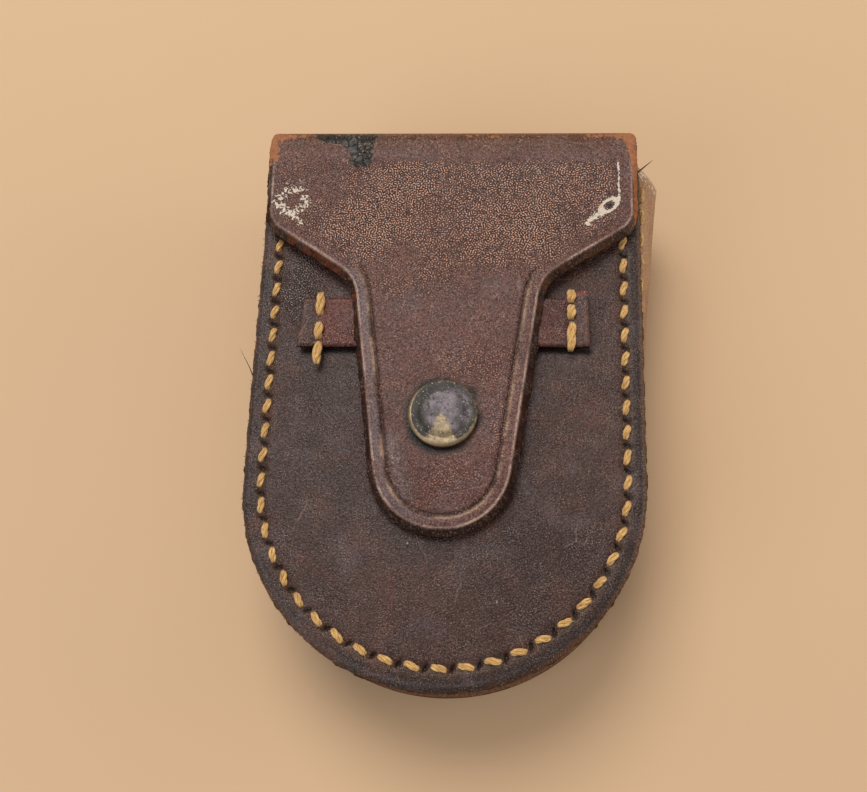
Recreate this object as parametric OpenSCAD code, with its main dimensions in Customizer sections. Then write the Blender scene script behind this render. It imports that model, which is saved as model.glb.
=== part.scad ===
// Leather flap pouch with a press stud, lying on its belt loop. All sizes are in millimetres.
// X is the width, +Y points to the folded top and +Z points out of the front.
// The origin is under the middle of the pouch, on the plane it rests on.

/* [Pouch] */
// Overall length, from the folded top to the round end
pouch_len = 106; // [102:1:116]
// Width at the widest point, where the round end starts
pouch_w = 73.2; // [72:0.2:80]
// Inside depth between the front and the back
depth = 16; // [12:0.5:24]
// Lean of each side towards the mouth, in degrees
side_lean = 0; // [0:0.1:1]
// Thickness of the front, back and roof leather
leather_t = 2.2; // [1.8:0.1:2.6]
// How far the front's top edge sits below the folded top
mouth_drop = 4; // [3.5:0.5:8]

/* [Gusset] */
// Thickness of the side strip's leather
gusset_t = 2.4; // [1.8:0.1:3]
// How far the side strip sits in from the rim
gusset_inset = 1.3; // [1.3:0.1:1.6]
// How far the side strip swells outwards at the mouth
mouth_bulge = 4.7; // [0:0.1:6]

/* [Flap] */
// Width of the flap at the fold
fold_w = 71.6; // [69:0.2:72]
// Thickness of the flap's leather
flap_t = 2.4; // [2:0.1:3]
// Space between the front and the closed flap
lid_gap = 2.8; // [2.7:0.1:3.4]
// Distance from the folded top to the flap's square shoulders
shoulder_drop = 19.7; // [18:0.1:21]
// Distance from the folded top to the root of the tongue
tongue_drop = 31.9; // [31:0.1:33]
// Width of the tongue where it leaves the flap
tongue_root_w = 36.6; // [33:0.2:37]
// Width of the tongue just above its round end
tongue_end_w = 26.6; // [24:0.2:27]
// Distance from the folded top to the tip of the tongue
tongue_reach = 79.6; // [76:0.1:82]

/* [Front strap] */
// Length of the strap that crosses the front under the tongue
strap_len = 53.8; // [48:0.2:56]
// Width of the strap
strap_w = 9.8; // [8:0.1:10.5]
// Thickness of the strap's leather
strap_t = 1.6; // [1.2:0.1:1.6]
// How far to the left of the middle the strap sits
strap_shift = 0.3; // [0:0.1:0.6]
// How far the strap stands off the front between its sewn ends
strap_rise = 0.5; // [0:0.1:0.6]
// Distance from the folded top to the middle of the strap
strap_drop = 39.2; // [38.5:0.1:40]
// Lean of the strap, in degrees
strap_lean = 0.5; // [0:0.1:2]

/* [Belt loop] */
// Width of the belt loop
loop_w = 34; // [28:1:40]
// Widest belt that the loop takes
belt_w = 50; // [40:1:52]
// Height of the gap that the belt goes through
belt_t = 4.6; // [4.4:0.1:5.5]
// Thickness of the belt loop's leather
loop_t = 2; // [1.6:0.1:2.4]
// Length of each sewn end of the belt loop
loop_end = 9; // [8:0.5:10]

/* [Stitching] */
// Distance between one stitch and the next
stitch_pitch = 4.7; // [4.4:0.1:5]
// Visible length of one stitch
stitch_len = 3.3; // [2.6:0.1:3.6]
// Thickness of the thread
thread_d = 1.1; // [0.8:0.1:1.2]
// Distance from the rim to the seam, at the sides
seam_inset = 3.5; // [3.2:0.1:4]
// Extra distance from the rim to the seam, at the round end
seam_lift = 0.6; // [0:0.1:1]

/* [Press stud] */
// Diameter of the cap on the flap
cap_d = 12.5; // [11.5:0.1:13]
// Height of the cap above the flap
cap_h = 1.8; // [1.5:0.1:2.2]
// Distance from the folded top to the press stud
stud_drop = 58.1; // [56:0.1:60]

/* [Hidden] */
$fn = 48;

leather_brown = [0.33, 0.24, 0.22];
flap_brown = [0.42, 0.31, 0.28];
strap_brown = [0.40, 0.24, 0.20];
tan = [0.66, 0.53, 0.40];
thread_gold = [0.85, 0.66, 0.36];
aged_brass = [0.50, 0.46, 0.38];
spring_grey = [0.55, 0.55, 0.55];

// Air left between two pieces that touch
touch_gap = 0.05;

// Heights, from the resting plane up
back_z = loop_t + belt_t;
inside_z = back_z + leather_t;
front_z = inside_z + depth;
face_z = front_z + leather_t;
flap_z = face_z + lid_gap;
flap_top_z = flap_z + flap_t;

// Places along Y
top_y = pouch_len / 2;
fold_y = top_y - leather_t;
front_top_y = top_y - mouth_drop;
stud_y = top_y - stud_drop;
strap_y = top_y - strap_drop;

// The rim: a round end that runs on into two straight sides leaning inwards
rim_r = pouch_w / 2;
rim_y = rim_r - top_y;
turn = 90 + side_lean;
round_steps = 48;

// A point on a U-shaped line round the middle [0, cy]. The angle phi goes round the end from
// -turn to turn, and climb carries on up the straight side.
function u_line(r, cy, phi, climb = 0) =
    [r * sin(phi) + sign(phi) * cos(turn) * climb, cy - r * cos(phi) + sin(turn) * climb];

// How far up the straight side a U-shaped line meets the height y
function climb_to(r, cy, y) = (y - cy + r * cos(turn)) / sin(turn);

// Half the rim's width at the height y
function half_width(y) = u_line(rim_r, rim_y, turn, climb_to(rim_r, rim_y, y))[0];

function unit(v) = v / norm(v);

// The shorter way round from angle a to angle b
function short_way(a, b) = (b - a > 180) ? b - a - 360 : (b - a < -180) ? b - a + 360 : b - a;

// The arc of radius r that rounds the corner b between its neighbours a and c
function corner_arc(a, b, c, r, steps) =
    let (
        to_a = unit(a - b),
        to_c = unit(c - b),
        half = acos(to_a * to_c) / 2,
        middle = b + unit(to_a + to_c) * r / sin(half),
        from = b + to_a * r / tan(half) - middle,
        to = b + to_c * r / tan(half) - middle,
        first = atan2(from[1], from[0]),
        sweep = short_way(first, atan2(to[1], to[0]))
    )
    [for (i = [0 : steps]) middle + r * [cos(first + sweep * i / steps), sin(first + sweep * i / steps)]];

function xy(corner) = [corner[0], corner[1]];

// An outline from corners [x, y, radius], each rounded by its own radius
function rounded(corners, steps = 12) =
    let (n = len(corners))
    [for (i = [0 : n - 1])
        each corners[i][2] == 0
            ? [xy(corners[i])]
            : corner_arc(xy(corners[(i + n - 1) % n]), xy(corners[i]), xy(corners[(i + 1) % n]),
                corners[i][2], steps)];

// A flat solid from an outline, between two heights
module slab(z, thickness) {
    translate([0, 0, z]) linear_extrude(thickness) children();
}

// ---- Leather ----

// How much the corners at the open end are cut, on the back and on the front
back_corner = 0.3;
front_corner = 1.5;

module rim_outline(y_end, chamfer) {
    w = half_width(y_end);
    round_end = [for (i = [0 : round_steps]) u_line(rim_r, rim_y, turn * (2 * i / round_steps - 1))];
    polygon(concat(round_end, [
        [half_width(y_end - chamfer), y_end - chamfer],
        [w - chamfer, y_end],
        [chamfer - w, y_end],
        [-half_width(y_end - chamfer), y_end - chamfer]
    ]));
}

// The hole that a barrel of the press stud goes through
module stud_hole(z, thickness, barrel_r) {
    translate([0, stud_y, z - 1]) cylinder(h = thickness + 2, r = barrel_r + stud_gap);
}

module back_panel() {
    color(leather_brown) slab(back_z, leather_t) rim_outline(fold_y - touch_gap, back_corner);
}

module front_panel() {
    color(leather_brown) difference() {
        slab(front_z, leather_t) rim_outline(front_top_y, front_corner);
        stud_hole(front_z, leather_t, post_barrel_r);
    }
}

module roof_panel() {
    color(flap_brown)
        translate([-fold_w / 2, fold_y, inside_z + touch_gap])
            cube([fold_w, leather_t, flap_z - inside_z - 2 * touch_gap]);
}

// The side strip. Its two long edges follow the rim, and between them it swells outwards
// more and more towards the mouth.
web_levels = 4;
web_side_steps = 6;
web_round_steps = 24;
web_r = rim_r - gusset_inset;
web_z = inside_z + touch_gap;
web_h = depth - 2 * touch_gap;
swell_power = 1.4;
web_end_gap = 0.3;

function web_swell(t, rise) = mouth_bulge * pow(t, swell_power) * sin(180 * rise);

// A point of the side strip at the angle phi, the share t of the straight side's length and
// the share rise of its height, moved outwards by out
function web_point(phi, t, rise, out) =
    let (r = web_r + out + web_swell(t, rise), climb = t * climb_to(web_r, rim_y, front_top_y - web_end_gap))
    concat(u_line(r, rim_y, phi, climb), web_z + web_h * rise);

web_stations = concat(
    [for (i = [web_side_steps : -1 : 1]) [-turn, i / web_side_steps]],
    [for (i = [0 : web_round_steps]) [turn * (2 * i / web_round_steps - 1), 0]],
    [for (i = [1 : web_side_steps]) [turn, i / web_side_steps]]);

module gusset() {
    ring = 2 * (web_levels + 1);
    count = len(web_stations);
    points = [for (s = web_stations) each concat(
        [for (j = [0 : web_levels]) web_point(s[0], s[1], j / web_levels, 0)],
        [for (j = [web_levels : -1 : 0]) web_point(s[0], s[1], j / web_levels, -gusset_t)])];
    walls = [for (k = [0 : count - 2], j = [0 : ring - 1])
        let (next = (j + 1) % ring, a = k * ring, b = a + ring)
        each [[a + j, b + next, b + j], [a + j, a + next, b + next]]];
    first_end = [for (j = [0 : web_levels - 1])
        each [[j, ring - 2 - j, j + 1], [j, ring - 1 - j, ring - 2 - j]]];
    last = (count - 1) * ring;
    last_end = [for (f = first_end) [f[0] + last, f[2] + last, f[1] + last]];
    color(tan) polyhedron(points, concat(walls, first_end, last_end));
}

// Radii of the flap's shoulders and of the tongue's root, and half the flat left at its tip
shoulder_r = 6;
root_r = 7;
tip_flat = 0.1;

// The flap: square shoulders that run in to a tapering tongue with a round end
module flap_outline() {
    half = fold_w / 2;
    tip_y = top_y - tongue_reach;
    root = [tongue_root_w / 2, top_y - tongue_drop];
    end = [tongue_end_w / 2, tip_y + tongue_end_w / 2];
    taper = (root[0] - end[0]) / (root[1] - end[1]);
    tip_x = end[0] - (end[1] - tip_y) * taper;
    tip_angle = 90 + atan(taper);
    tip_r = (tip_x - tip_flat) * tan(tip_angle / 2);
    right = [
        [half, fold_y - touch_gap, 0],
        [half, top_y - shoulder_drop, shoulder_r],
        [root[0], root[1], root_r],
        [tip_x, tip_y, tip_r]
    ];
    left = [for (i = [len(right) - 1 : -1 : 0]) [-right[i][0], right[i][1], right[i][2]]];
    polygon(rounded(concat(right, left)));
}

module flap() {
    color(flap_brown) difference() {
        slab(flap_z, flap_t) flap_outline();
        stud_hole(flap_z, flap_t, cap_barrel_r);
    }
}

// A strip that lies flat at both ends and stands off by rise between them, lying along X
module raised_strip(length, end, ramp, rise, thickness, width) {
    half = length / 2;
    inner = half - end;
    under = [[-half, 0], [-inner, 0], [ramp - inner, rise], [inner - ramp, rise], [inner, 0], [half, 0]];
    over = [for (i = [len(under) - 1 : -1 : 0]) under[i] + [0, thickness]];
    translate([0, width / 2, 0]) rotate([90, 0, 0]) linear_extrude(width) polygon(concat(under, over));
}

module on_strap() {
    translate([-strap_shift, strap_y, face_z + touch_gap]) rotate([0, 0, strap_lean]) children();
}

strap_end = 7;
strap_ramp = 5;

module cross_strap() {
    color(strap_brown) on_strap()
        raised_strip(strap_len, strap_end, strap_ramp, strap_rise, strap_t, strap_w);
}

loop_ramp = 3;
loop_top_gap = 5;
loop_len = belt_w + 2 * (loop_end + loop_ramp);
loop_y = fold_y - loop_top_gap - loop_len / 2;

module belt_loop() {
    color(strap_brown)
        translate([0, loop_y, back_z - touch_gap]) rotate([0, 180, 90])
            raised_strip(loop_len, loop_end, loop_ramp, belt_t - touch_gap, loop_t, loop_w);
}

// ---- Stitching ----

// One stitch along X: a short rod with round ends, resting on Z = 0
module stitch(length = stitch_len) {
    r = thread_d / 2;
    translate([0, 0, r + touch_gap]) {
        translate([r - length / 2, 0, 0]) rotate([0, 90, 0]) cylinder(h = length - 2 * r, r = r, $fn = 16);
        for (side = [-1, 1]) translate([side * (length / 2 - r), 0, 0]) sphere(r = r, $fn = 16);
    }
}

// Lean of each stitch from its seam's line, in degrees
stitch_slant = 12;
// How far the seam stops short of the front's top edge
seam_end_gap = 2;
seam_r = rim_r - seam_inset;
seam_y = rim_y + seam_lift;
seam_arc = seam_r * turn * PI / 180;
seam_half = seam_arc + climb_to(seam_r, seam_y, front_top_y - seam_end_gap);
seam_count = 2 * floor(seam_half / stitch_pitch) + 1;

// The angle round the end, and the climb up the side, at the distance s along a U-shaped line
function seam_phi(r, s) = sign(s) * min(abs(s) * 180 / (PI * r), turn);
function seam_climb(r, s) = max(abs(s) - r * turn * PI / 180, 0);

// Stitches round the rim, on a face at the height z: side is 1 on the front and -1 on the back
module rim_stitches(z, side) {
    for (i = [0 : seam_count - 1]) {
        s = (i - (seam_count - 1) / 2) * stitch_pitch;
        phi = seam_phi(seam_r, s);
        spot = u_line(seam_r, seam_y, phi, seam_climb(seam_r, s));
        translate([spot[0], spot[1], z])
            rotate([0, 0, phi - stitch_slant]) rotate([side > 0 ? 0 : 180, 0, 0]) stitch();
    }
}

// The stitches on the side strip are a little shorter and stand clear of its curve
web_stitch_gap = 0.1;
web_stitch_share = 0.9;

// The same seam where it comes out on the side strip, at a share of the strip's height
module gusset_stitches(rise) {
    span = climb_to(web_r, rim_y, front_top_y - web_end_gap);
    pitch = stitch_pitch * (web_r * turn * PI / 180 + span - seam_end_gap) / seam_half;
    for (i = [0 : seam_count - 1]) {
        s = (i - (seam_count - 1) / 2) * pitch;
        phi = seam_phi(web_r, s);
        t = seam_climb(web_r, s) / span;
        spot = web_point(phi, t, rise, web_stitch_gap);
        translate(spot) rotate([0, 0, phi]) rotate([90, 0, 0]) stitch(web_stitch_share * stitch_len);
    }
}

gusset_seam_share = 0.1;

module rim_stitches_front() { color(thread_gold) rim_stitches(face_z, 1); }
module rim_stitches_back() { color(thread_gold) rim_stitches(back_z, -1); }
module gusset_stitches_front() { color(thread_gold) gusset_stitches(1 - gusset_seam_share); }
module gusset_stitches_back() { color(thread_gold) gusset_stitches(gusset_seam_share); }

// A row of stitches along X, centred on [0, 0]
module stitch_row(count, pitch, length) {
    for (i = [0 : count - 1]) translate([(i - (count - 1) / 2) * pitch, 0, 0]) stitch(length);
}

strap_seam_inset = 3.4;
strap_seam_pitch = 4.6;
strap_seam_shift = 1.5;
strap_stitch_len = 3.7;

// Three stitches across an end of the front strap: side is -1 on the left and 1 on the right
module strap_stitches(side) {
    color(thread_gold) on_strap()
        translate([side * (strap_len / 2 - strap_seam_inset), side * strap_seam_shift, strap_t])
            rotate([0, 0, 90]) stitch_row(3, strap_seam_pitch, strap_stitch_len);
}

module strap_stitches_left() { strap_stitches(-1); }
module strap_stitches_right() { strap_stitches(1); }

// A row of stitches across an end of the belt loop, clear of the loop's sides
loop_seam_margin = 2;

module loop_stitches(side) {
    y = loop_y + side * (loop_len / 2 - loop_end / 2);
    count = floor((loop_w - 2 * loop_seam_margin) / stitch_pitch);
    color(thread_gold) translate([0, y, back_z - loop_t - touch_gap])
        rotate([180, 0, 0]) stitch_row(count, stitch_pitch, stitch_len);
}

module loop_stitches_top() { loop_stitches(1); }
module loop_stitches_bottom() { loop_stitches(-1); }

// ---- Press stud ----

// Clearance round a barrel, thickness of the sheet brass and of a barrel's wall
stud_gap = 0.1;
sheet = 0.35;
barrel_wall = 0.5;

// The cap's barrel, which narrows below the flap and ends in a riveted lip inside the socket
cap_barrel_r = 1.9;
cap_barrel_end_r = cap_barrel_r - barrel_wall;
cap_barrel_bore_r = 0.9;
barrel_lip = 0.2;
barrel_lip_r = 2.3;
cap_roll_r = 0.5;
dish_inset = 1.2;
dish_h = 0.8;

socket_r = 5.2;
socket_mouth_r = 3.2;
socket_cup_r = 4.3;
socket_edge = 0.5;
socket_room = 0.6;
socket_h = lid_gap - socket_room;
socket_z = flap_z - touch_gap - socket_h;

post_barrel_r = 1.5;
post_disc_r = 5;
stud_base_r = 4.8;
stud_neck_r = 2.3;
stud_ball_r = 2.7;
ball_edge = 0.2;
ball_underside = 0.15;

spring_d = 0.4;
spring_half = 3.3;
spring_lift = 0.03;
ball_lift = 0.04;
spring_x = stud_neck_r + stud_gap + spring_d / 2;
spring_z = socket_z + sheet + spring_lift + spring_d / 2;

cap_z = flap_top_z + touch_gap;
stud_base_z = face_z + touch_gap;
rivet_end_z = socket_z + socket_h - sheet - touch_gap;
ball_top_z = rivet_end_z - barrel_lip - stud_gap;
ball_z = spring_z + spring_d / 2 + ball_lift;

// A round part turned from a profile of [radius, height] points, standing on the stud's axis
module turned(profile) {
    translate([0, stud_y, 0]) rotate_extrude($fn = 64) polygon(profile);
}

// The cap has a rolled rim, a low dome and a hollow barrel riveted over inside the socket
module snap_cap() {
    cap_r = cap_d / 2;
    dome_r = cap_r - dish_inset;
    steps = 8;
    rim = [for (a = [-90 : 15 : 90])
        [cap_r - cap_roll_r + cap_roll_r * cos(a), cap_z + cap_roll_r + cap_roll_r * sin(a)]];
    dome = [for (i = [0 : steps])
        let (share = 1 - i / steps)
        [dome_r * share, cap_z + dish_h + (cap_h - dish_h) * cos(90 * share)]];
    barrel = [
        [0, flap_z],
        [cap_barrel_bore_r, flap_z],
        [cap_barrel_bore_r, rivet_end_z - barrel_lip],
        [barrel_lip_r, rivet_end_z - barrel_lip],
        [barrel_lip_r, rivet_end_z],
        [cap_barrel_end_r, rivet_end_z],
        [cap_barrel_end_r, flap_z],
        [cap_barrel_r, flap_z],
        [cap_barrel_r, cap_z]
    ];
    color(aged_brass) turned(concat(barrel, rim, dome));
}

// The socket is a cup under the flap, with a narrower mouth that holds the spring in
module snap_socket() {
    top = socket_z + socket_h;
    hole_r = cap_barrel_end_r + stud_gap;
    color(aged_brass) turned([
        [socket_mouth_r, socket_z],
        [socket_r - socket_edge, socket_z],
        [socket_r, socket_z + socket_edge],
        [socket_r, top],
        [hole_r, top],
        [hole_r, top - sheet],
        [socket_cup_r, top - sheet],
        [socket_cup_r, socket_z + sheet],
        [socket_mouth_r, socket_z + sheet]
    ]);
}

// Two straight wires, one each side of the stud's neck
module socket_spring() {
    color(spring_grey) for (side = [-1, 1])
        translate([side * spring_x, stud_y - spring_half, spring_z])
            rotate([-90, 0, 0]) cylinder(h = 2 * spring_half, r = spring_d / 2, $fn = 24);
}

// The stud stands on the front: a flat base, a neck and a wider head
module snap_stud() {
    hole_r = post_barrel_r + stud_gap;
    color(aged_brass) turned([
        [hole_r, stud_base_z],
        [stud_base_r, stud_base_z],
        [stud_base_r, stud_base_z + sheet],
        [stud_neck_r, stud_base_z + sheet],
        [stud_neck_r, ball_z],
        [stud_ball_r, ball_z + ball_underside],
        [stud_ball_r, ball_top_z - ball_edge],
        [stud_ball_r - ball_edge, ball_top_z],
        [hole_r, ball_top_z]
    ]);
}

// The post is a flat disc inside the pouch with a hollow barrel up through the front
module snap_post() {
    bore_r = post_barrel_r - barrel_wall;
    top = ball_top_z - stud_gap;
    bottom = front_z - touch_gap;
    color(aged_brass) turned([
        [0, bottom - sheet],
        [post_disc_r, bottom - sheet],
        [post_disc_r, bottom],
        [post_barrel_r, bottom],
        [post_barrel_r, top],
        [bore_r, top],
        [bore_r, bottom],
        [0, bottom]
    ]);
}

back_panel();
front_panel();
gusset();
roof_panel();
flap();
cross_strap();
belt_loop();
rim_stitches_front();
rim_stitches_back();
gusset_stitches_front();
gusset_stitches_back();
strap_stitches_left();
strap_stitches_right();
loop_stitches_top();
loop_stitches_bottom();
snap_cap();
snap_socket();
socket_spring();
snap_stud();
snap_post();
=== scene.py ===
"""A worn leather belt pouch with a flap, front strap and press stud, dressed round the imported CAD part.

Sizes are in millimetres until a mesh is made, when they become metres. Leather pieces start as flat slabs
that are voxel remeshed, then pressed, crowned and folded point by point.
"""
import itertools
import math

import bmesh
import bpy
import numpy as np
from mathutils import Matrix, Vector


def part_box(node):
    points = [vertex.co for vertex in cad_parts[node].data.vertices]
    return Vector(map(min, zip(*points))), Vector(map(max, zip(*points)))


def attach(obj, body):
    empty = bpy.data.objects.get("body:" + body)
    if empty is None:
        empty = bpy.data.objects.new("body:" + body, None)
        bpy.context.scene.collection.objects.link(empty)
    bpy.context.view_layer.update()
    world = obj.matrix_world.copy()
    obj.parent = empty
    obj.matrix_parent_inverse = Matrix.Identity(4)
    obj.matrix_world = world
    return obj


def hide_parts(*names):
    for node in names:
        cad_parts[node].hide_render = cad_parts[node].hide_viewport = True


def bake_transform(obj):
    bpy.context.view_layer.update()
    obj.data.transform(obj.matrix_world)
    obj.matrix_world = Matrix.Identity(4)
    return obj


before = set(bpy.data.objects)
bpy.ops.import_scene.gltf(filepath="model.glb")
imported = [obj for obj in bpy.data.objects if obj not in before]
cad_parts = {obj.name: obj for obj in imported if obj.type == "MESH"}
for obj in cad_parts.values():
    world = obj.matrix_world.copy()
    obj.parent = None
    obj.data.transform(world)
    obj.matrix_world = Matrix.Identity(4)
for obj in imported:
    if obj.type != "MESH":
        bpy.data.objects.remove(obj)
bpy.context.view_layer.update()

MM = 1000.0


def mm_box(node):
    """Lowest and highest corner of a CAD node, in millimetres."""
    low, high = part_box(node)
    return np.array(low) * MM, np.array(high) * MM


# ------ places taken from the CAD
FRONT_LOW, FRONT_HIGH = mm_box("front_panel")
BACK_LOW, BACK_HIGH = mm_box("back_panel")
ROOF_LOW, ROOF_HIGH = mm_box("roof_panel")
FLAP_LOW, FLAP_HIGH = mm_box("flap")
GUSSET_LOW, GUSSET_HIGH = mm_box("gusset")
STRAP_LOW, STRAP_HIGH = mm_box("cross_strap")
LOOP_LOW, LOOP_HIGH = mm_box("belt_loop")
CAP_LOW, CAP_HIGH = mm_box("snap_cap")

RIM_R = FRONT_HIGH[0]
RIM_Y = FRONT_LOW[1] + RIM_R
MOUTH_Y = FRONT_HIGH[1]
FACE_Z = FRONT_HIGH[2]
FOLD_Y = ROOF_LOW[1]
INSIDE_Z = BACK_HIGH[2]
ROOF_MIDDLE_Z = (ROOF_LOW[2] + ROOF_HIGH[2]) / 2
STUD = (CAP_LOW[:2] + CAP_HIGH[:2]) / 2
TIP_Y = FLAP_LOW[1]

# ------ sizes of the leather work
FLAP_VOXEL = 0.24
FINE_VOXEL = 0.3
FRONT_VOXEL = 0.36
COARSE_VOXEL = 0.5
SEAM_INSET = 3.5
SEAM_LIFT = 0.6
STITCH_PITCH = 4.7
STITCH_PHASE = 0.35
STITCH_LEN = 2.8
STITCH_SLANT = math.radians(-17)
SEAM_R = RIM_R - SEAM_INSET
SEAM_Y = RIM_Y + SEAM_LIFT
SEAM_HALF = SEAM_R * math.pi / 2 + MOUTH_Y - 2 - SEAM_Y

FLAP_T = 2.9
FLAP_UNDER_Z = FLAP_HIGH[2] - FLAP_T
FOLD_INNER_R = 0.9
TONGUE_ROOT = (18.3, 21.1, 7.0)
TONGUE_END_X = 11.65
TONGUE_END_R = 12.9
SHOULDER = (FLAP_HIGH[0], 33.2, 6.0)
CREASE_INSET = 3.5
CREASE_TOP = 23.5

BACK_T = BACK_HIGH[2] - BACK_LOW[2]

# ------ smooth random values
RANDOM_TABLE = np.random.default_rng(3).uniform(-1, 1, 4096)
HASH_X, HASH_Y, HASH_Z, HASH_SEED = 73856093, 19349663, 83492791, 2654435


def table_value(cell, seed):
    """The random value that belongs to a whole-numbered cell."""
    mixed = (cell[:, 0] * HASH_X) ^ (cell[:, 1] * HASH_Y) ^ (cell[:, 2] * HASH_Z) ^ (seed * HASH_SEED)
    return RANDOM_TABLE[mixed & (len(RANDOM_TABLE) - 1)]


def bumps(points, size, seed):
    """Smooth random values between -1 and 1 that change over the given size."""
    scaled = points / size
    cell = np.floor(scaled).astype(np.int64)
    part = scaled - cell
    ease = part * part * (3 - 2 * part)
    total = np.zeros(len(points))
    for corner in itertools.product((0, 1), repeat=3):
        weight = np.prod(np.where(corner, ease, 1 - ease), axis=1)
        total += weight * table_value(cell + corner, seed)
    return total


def roughness(points, size, seed, octaves=3):
    """Bumps of several sizes on top of each other."""
    return sum(bumps(points, size / 2**n, seed + n) / 2**n for n in range(octaves))


def patches(points, size, seed, low, high):
    """Soft patches: 0 where the roughness is below low and 1 where it's above high."""
    return smooth(roughness(points, size, seed), low, high)


def smooth(value, low, high):
    """0 below low, 1 above high and an even ease between them."""
    share = np.clip((value - low) / (high - low), 0, 1)
    return share * share * (3 - 2 * share)


def bell(value, width):
    """1 where value is 0, falling to nothing at about twice the width."""
    return np.exp(-((value / width) ** 2))


def spot(points, centre, reach):
    """A soft round or oval spot in the plane."""
    away = (points[:, :2] - centre) / reach
    return np.exp(-np.sum(away**2, axis=1))


def streak(points, start, end, width):
    """A soft line between two points of the plane."""
    return bell(line_distance(points[:, :2], np.array([start, end], float)), width)


# ------ outlines and distances
def line_distance(points, line):
    """Distance of each point of the plane from an open line of straight runs."""
    nearest = np.full(len(points), np.inf)
    for a, b in zip(line[:-1], line[1:]):
        run = b - a
        share = np.clip(((points - a) @ run) / (run @ run), 0, 1)
        nearest = np.minimum(nearest, np.hypot(*(points - a - share[:, None] * run).T))
    return nearest


def inside(points, outline):
    """Whether each point of the plane is inside a closed outline."""
    crossings = np.zeros(len(points), bool)
    for a, b in zip(outline, np.roll(outline, -1, axis=0)):
        spans = (a[1] > points[:, 1]) != (b[1] > points[:, 1])
        rise = b[1] - a[1] if b[1] != a[1] else 1.0
        crossings ^= spans & (points[:, 0] < a[0] + (b[0] - a[0]) * (points[:, 1] - a[1]) / rise)
    return crossings


def depth_inside(points, outline):
    """Distance from a closed outline, positive inside it."""
    closed = np.vstack([outline, outline[:1]])
    return line_distance(points, closed) * np.where(inside(points, outline), 1, -1)


def corner_arc(before, corner, after, radius, steps=14):
    """The points of the arc that rounds a corner between its two neighbours."""
    back = (before - corner) / np.linalg.norm(before - corner)
    ahead = (after - corner) / np.linalg.norm(after - corner)
    half = math.acos(np.clip(back @ ahead, -1, 1)) / 2
    middle = corner + (back + ahead) / np.linalg.norm(back + ahead) * radius / math.sin(half)
    first = corner + back * radius / math.tan(half) - middle
    last = corner + ahead * radius / math.tan(half) - middle
    start = math.atan2(first[1], first[0])
    sweep = (math.atan2(last[1], last[0]) - start + math.pi) % (2 * math.pi) - math.pi
    angles = start + sweep * np.linspace(0, 1, steps)
    return middle + radius * np.column_stack([np.cos(angles), np.sin(angles)])


def rounded(corners):
    """A closed outline through corners given as x, y and radius."""
    places = [np.array(c[:2], float) for c in corners]
    outline = []
    for n, (x, y, radius) in enumerate(corners):
        if radius:
            outline.extend(corner_arc(places[n - 1], places[n], places[(n + 1) % len(corners)], radius))
        else:
            outline.append(places[n])
    return np.array(outline)


def u_outline(radius, middle_y, end_y, corner):
    """The rim's outline: a round end, two straight sides and two small corners at the open end."""
    angles = np.linspace(-math.pi / 2, math.pi / 2, 90)
    bend = np.column_stack([radius * np.sin(angles), middle_y - radius * np.cos(angles)])
    top = [(radius, end_y - corner), (radius - corner, end_y)]
    top += [(-x, y) for x, y in reversed(top)]
    return np.vstack([bend, top])


def u_place(s, radius=SEAM_R, middle_y=SEAM_Y):
    """The point at the distance s along a U-shaped line, and the line's direction there."""
    angle = np.clip(s / radius, -math.pi / 2, math.pi / 2)
    climb = np.abs(s - radius * angle)
    place = np.column_stack([radius * np.sin(angle), middle_y - radius * np.cos(angle) + climb])
    return place, np.column_stack([np.cos(angle), np.sin(angle)])


def u_coordinates(points, radius=SEAM_R, middle_y=SEAM_Y):
    """How far out from the middle line a point is, and how far along a U-shaped line."""
    x, y = points[:, 0], points[:, 1] - middle_y
    reach = np.where(y < 0, np.hypot(x, y), np.abs(x))
    angle = np.where(y < 0, np.arctan2(x, -y), np.sign(x) * math.pi / 2)
    return reach, radius * angle + np.sign(x) * np.maximum(y, 0)


# ------ meshes
def remeshed(outline, low, high, voxel):
    """An even mesh of small squares over a flat slab: its points and faces."""
    bm = bmesh.new()
    under, over = ([bm.verts.new((x, y, z)) for x, y in outline] for z in (low, high))
    bm.faces.new(under)
    bm.faces.new(over)
    for n in range(len(outline)):
        bm.faces.new((under[n - 1], under[n], over[n], over[n - 1]))
    bmesh.ops.recalc_face_normals(bm, faces=bm.faces)
    mesh = bpy.data.meshes.new("slab")
    bm.to_mesh(mesh)
    bm.free()
    slab = bpy.data.objects.new("slab", mesh)
    bpy.context.scene.collection.objects.link(slab)
    modifier = slab.modifiers.new("voxels", "REMESH")
    modifier.mode = "VOXEL"
    modifier.voxel_size = voxel
    fine = slab.evaluated_get(bpy.context.evaluated_depsgraph_get()).to_mesh()
    points = np.empty(len(fine.vertices) * 3)
    fine.vertices.foreach_get("co", points)
    faces = np.empty(len(fine.loops), np.int64)
    fine.loops.foreach_get("vertex_index", faces)
    bpy.data.objects.remove(slab)
    bpy.data.meshes.remove(mesh)
    return points.reshape(-1, 3), faces.reshape(-1, 4)


def volume(points, faces):
    """Six times the signed volume inside a closed mesh; negative when its faces look inwards."""
    a, b, c = (points[faces[:, n]] for n in range(3))
    total = np.sum(a * np.cross(b, c))
    if faces.shape[1] == 4:
        d = points[faces[:, 3]]
        total += np.sum(a * np.cross(c, d))
    return total


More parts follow.
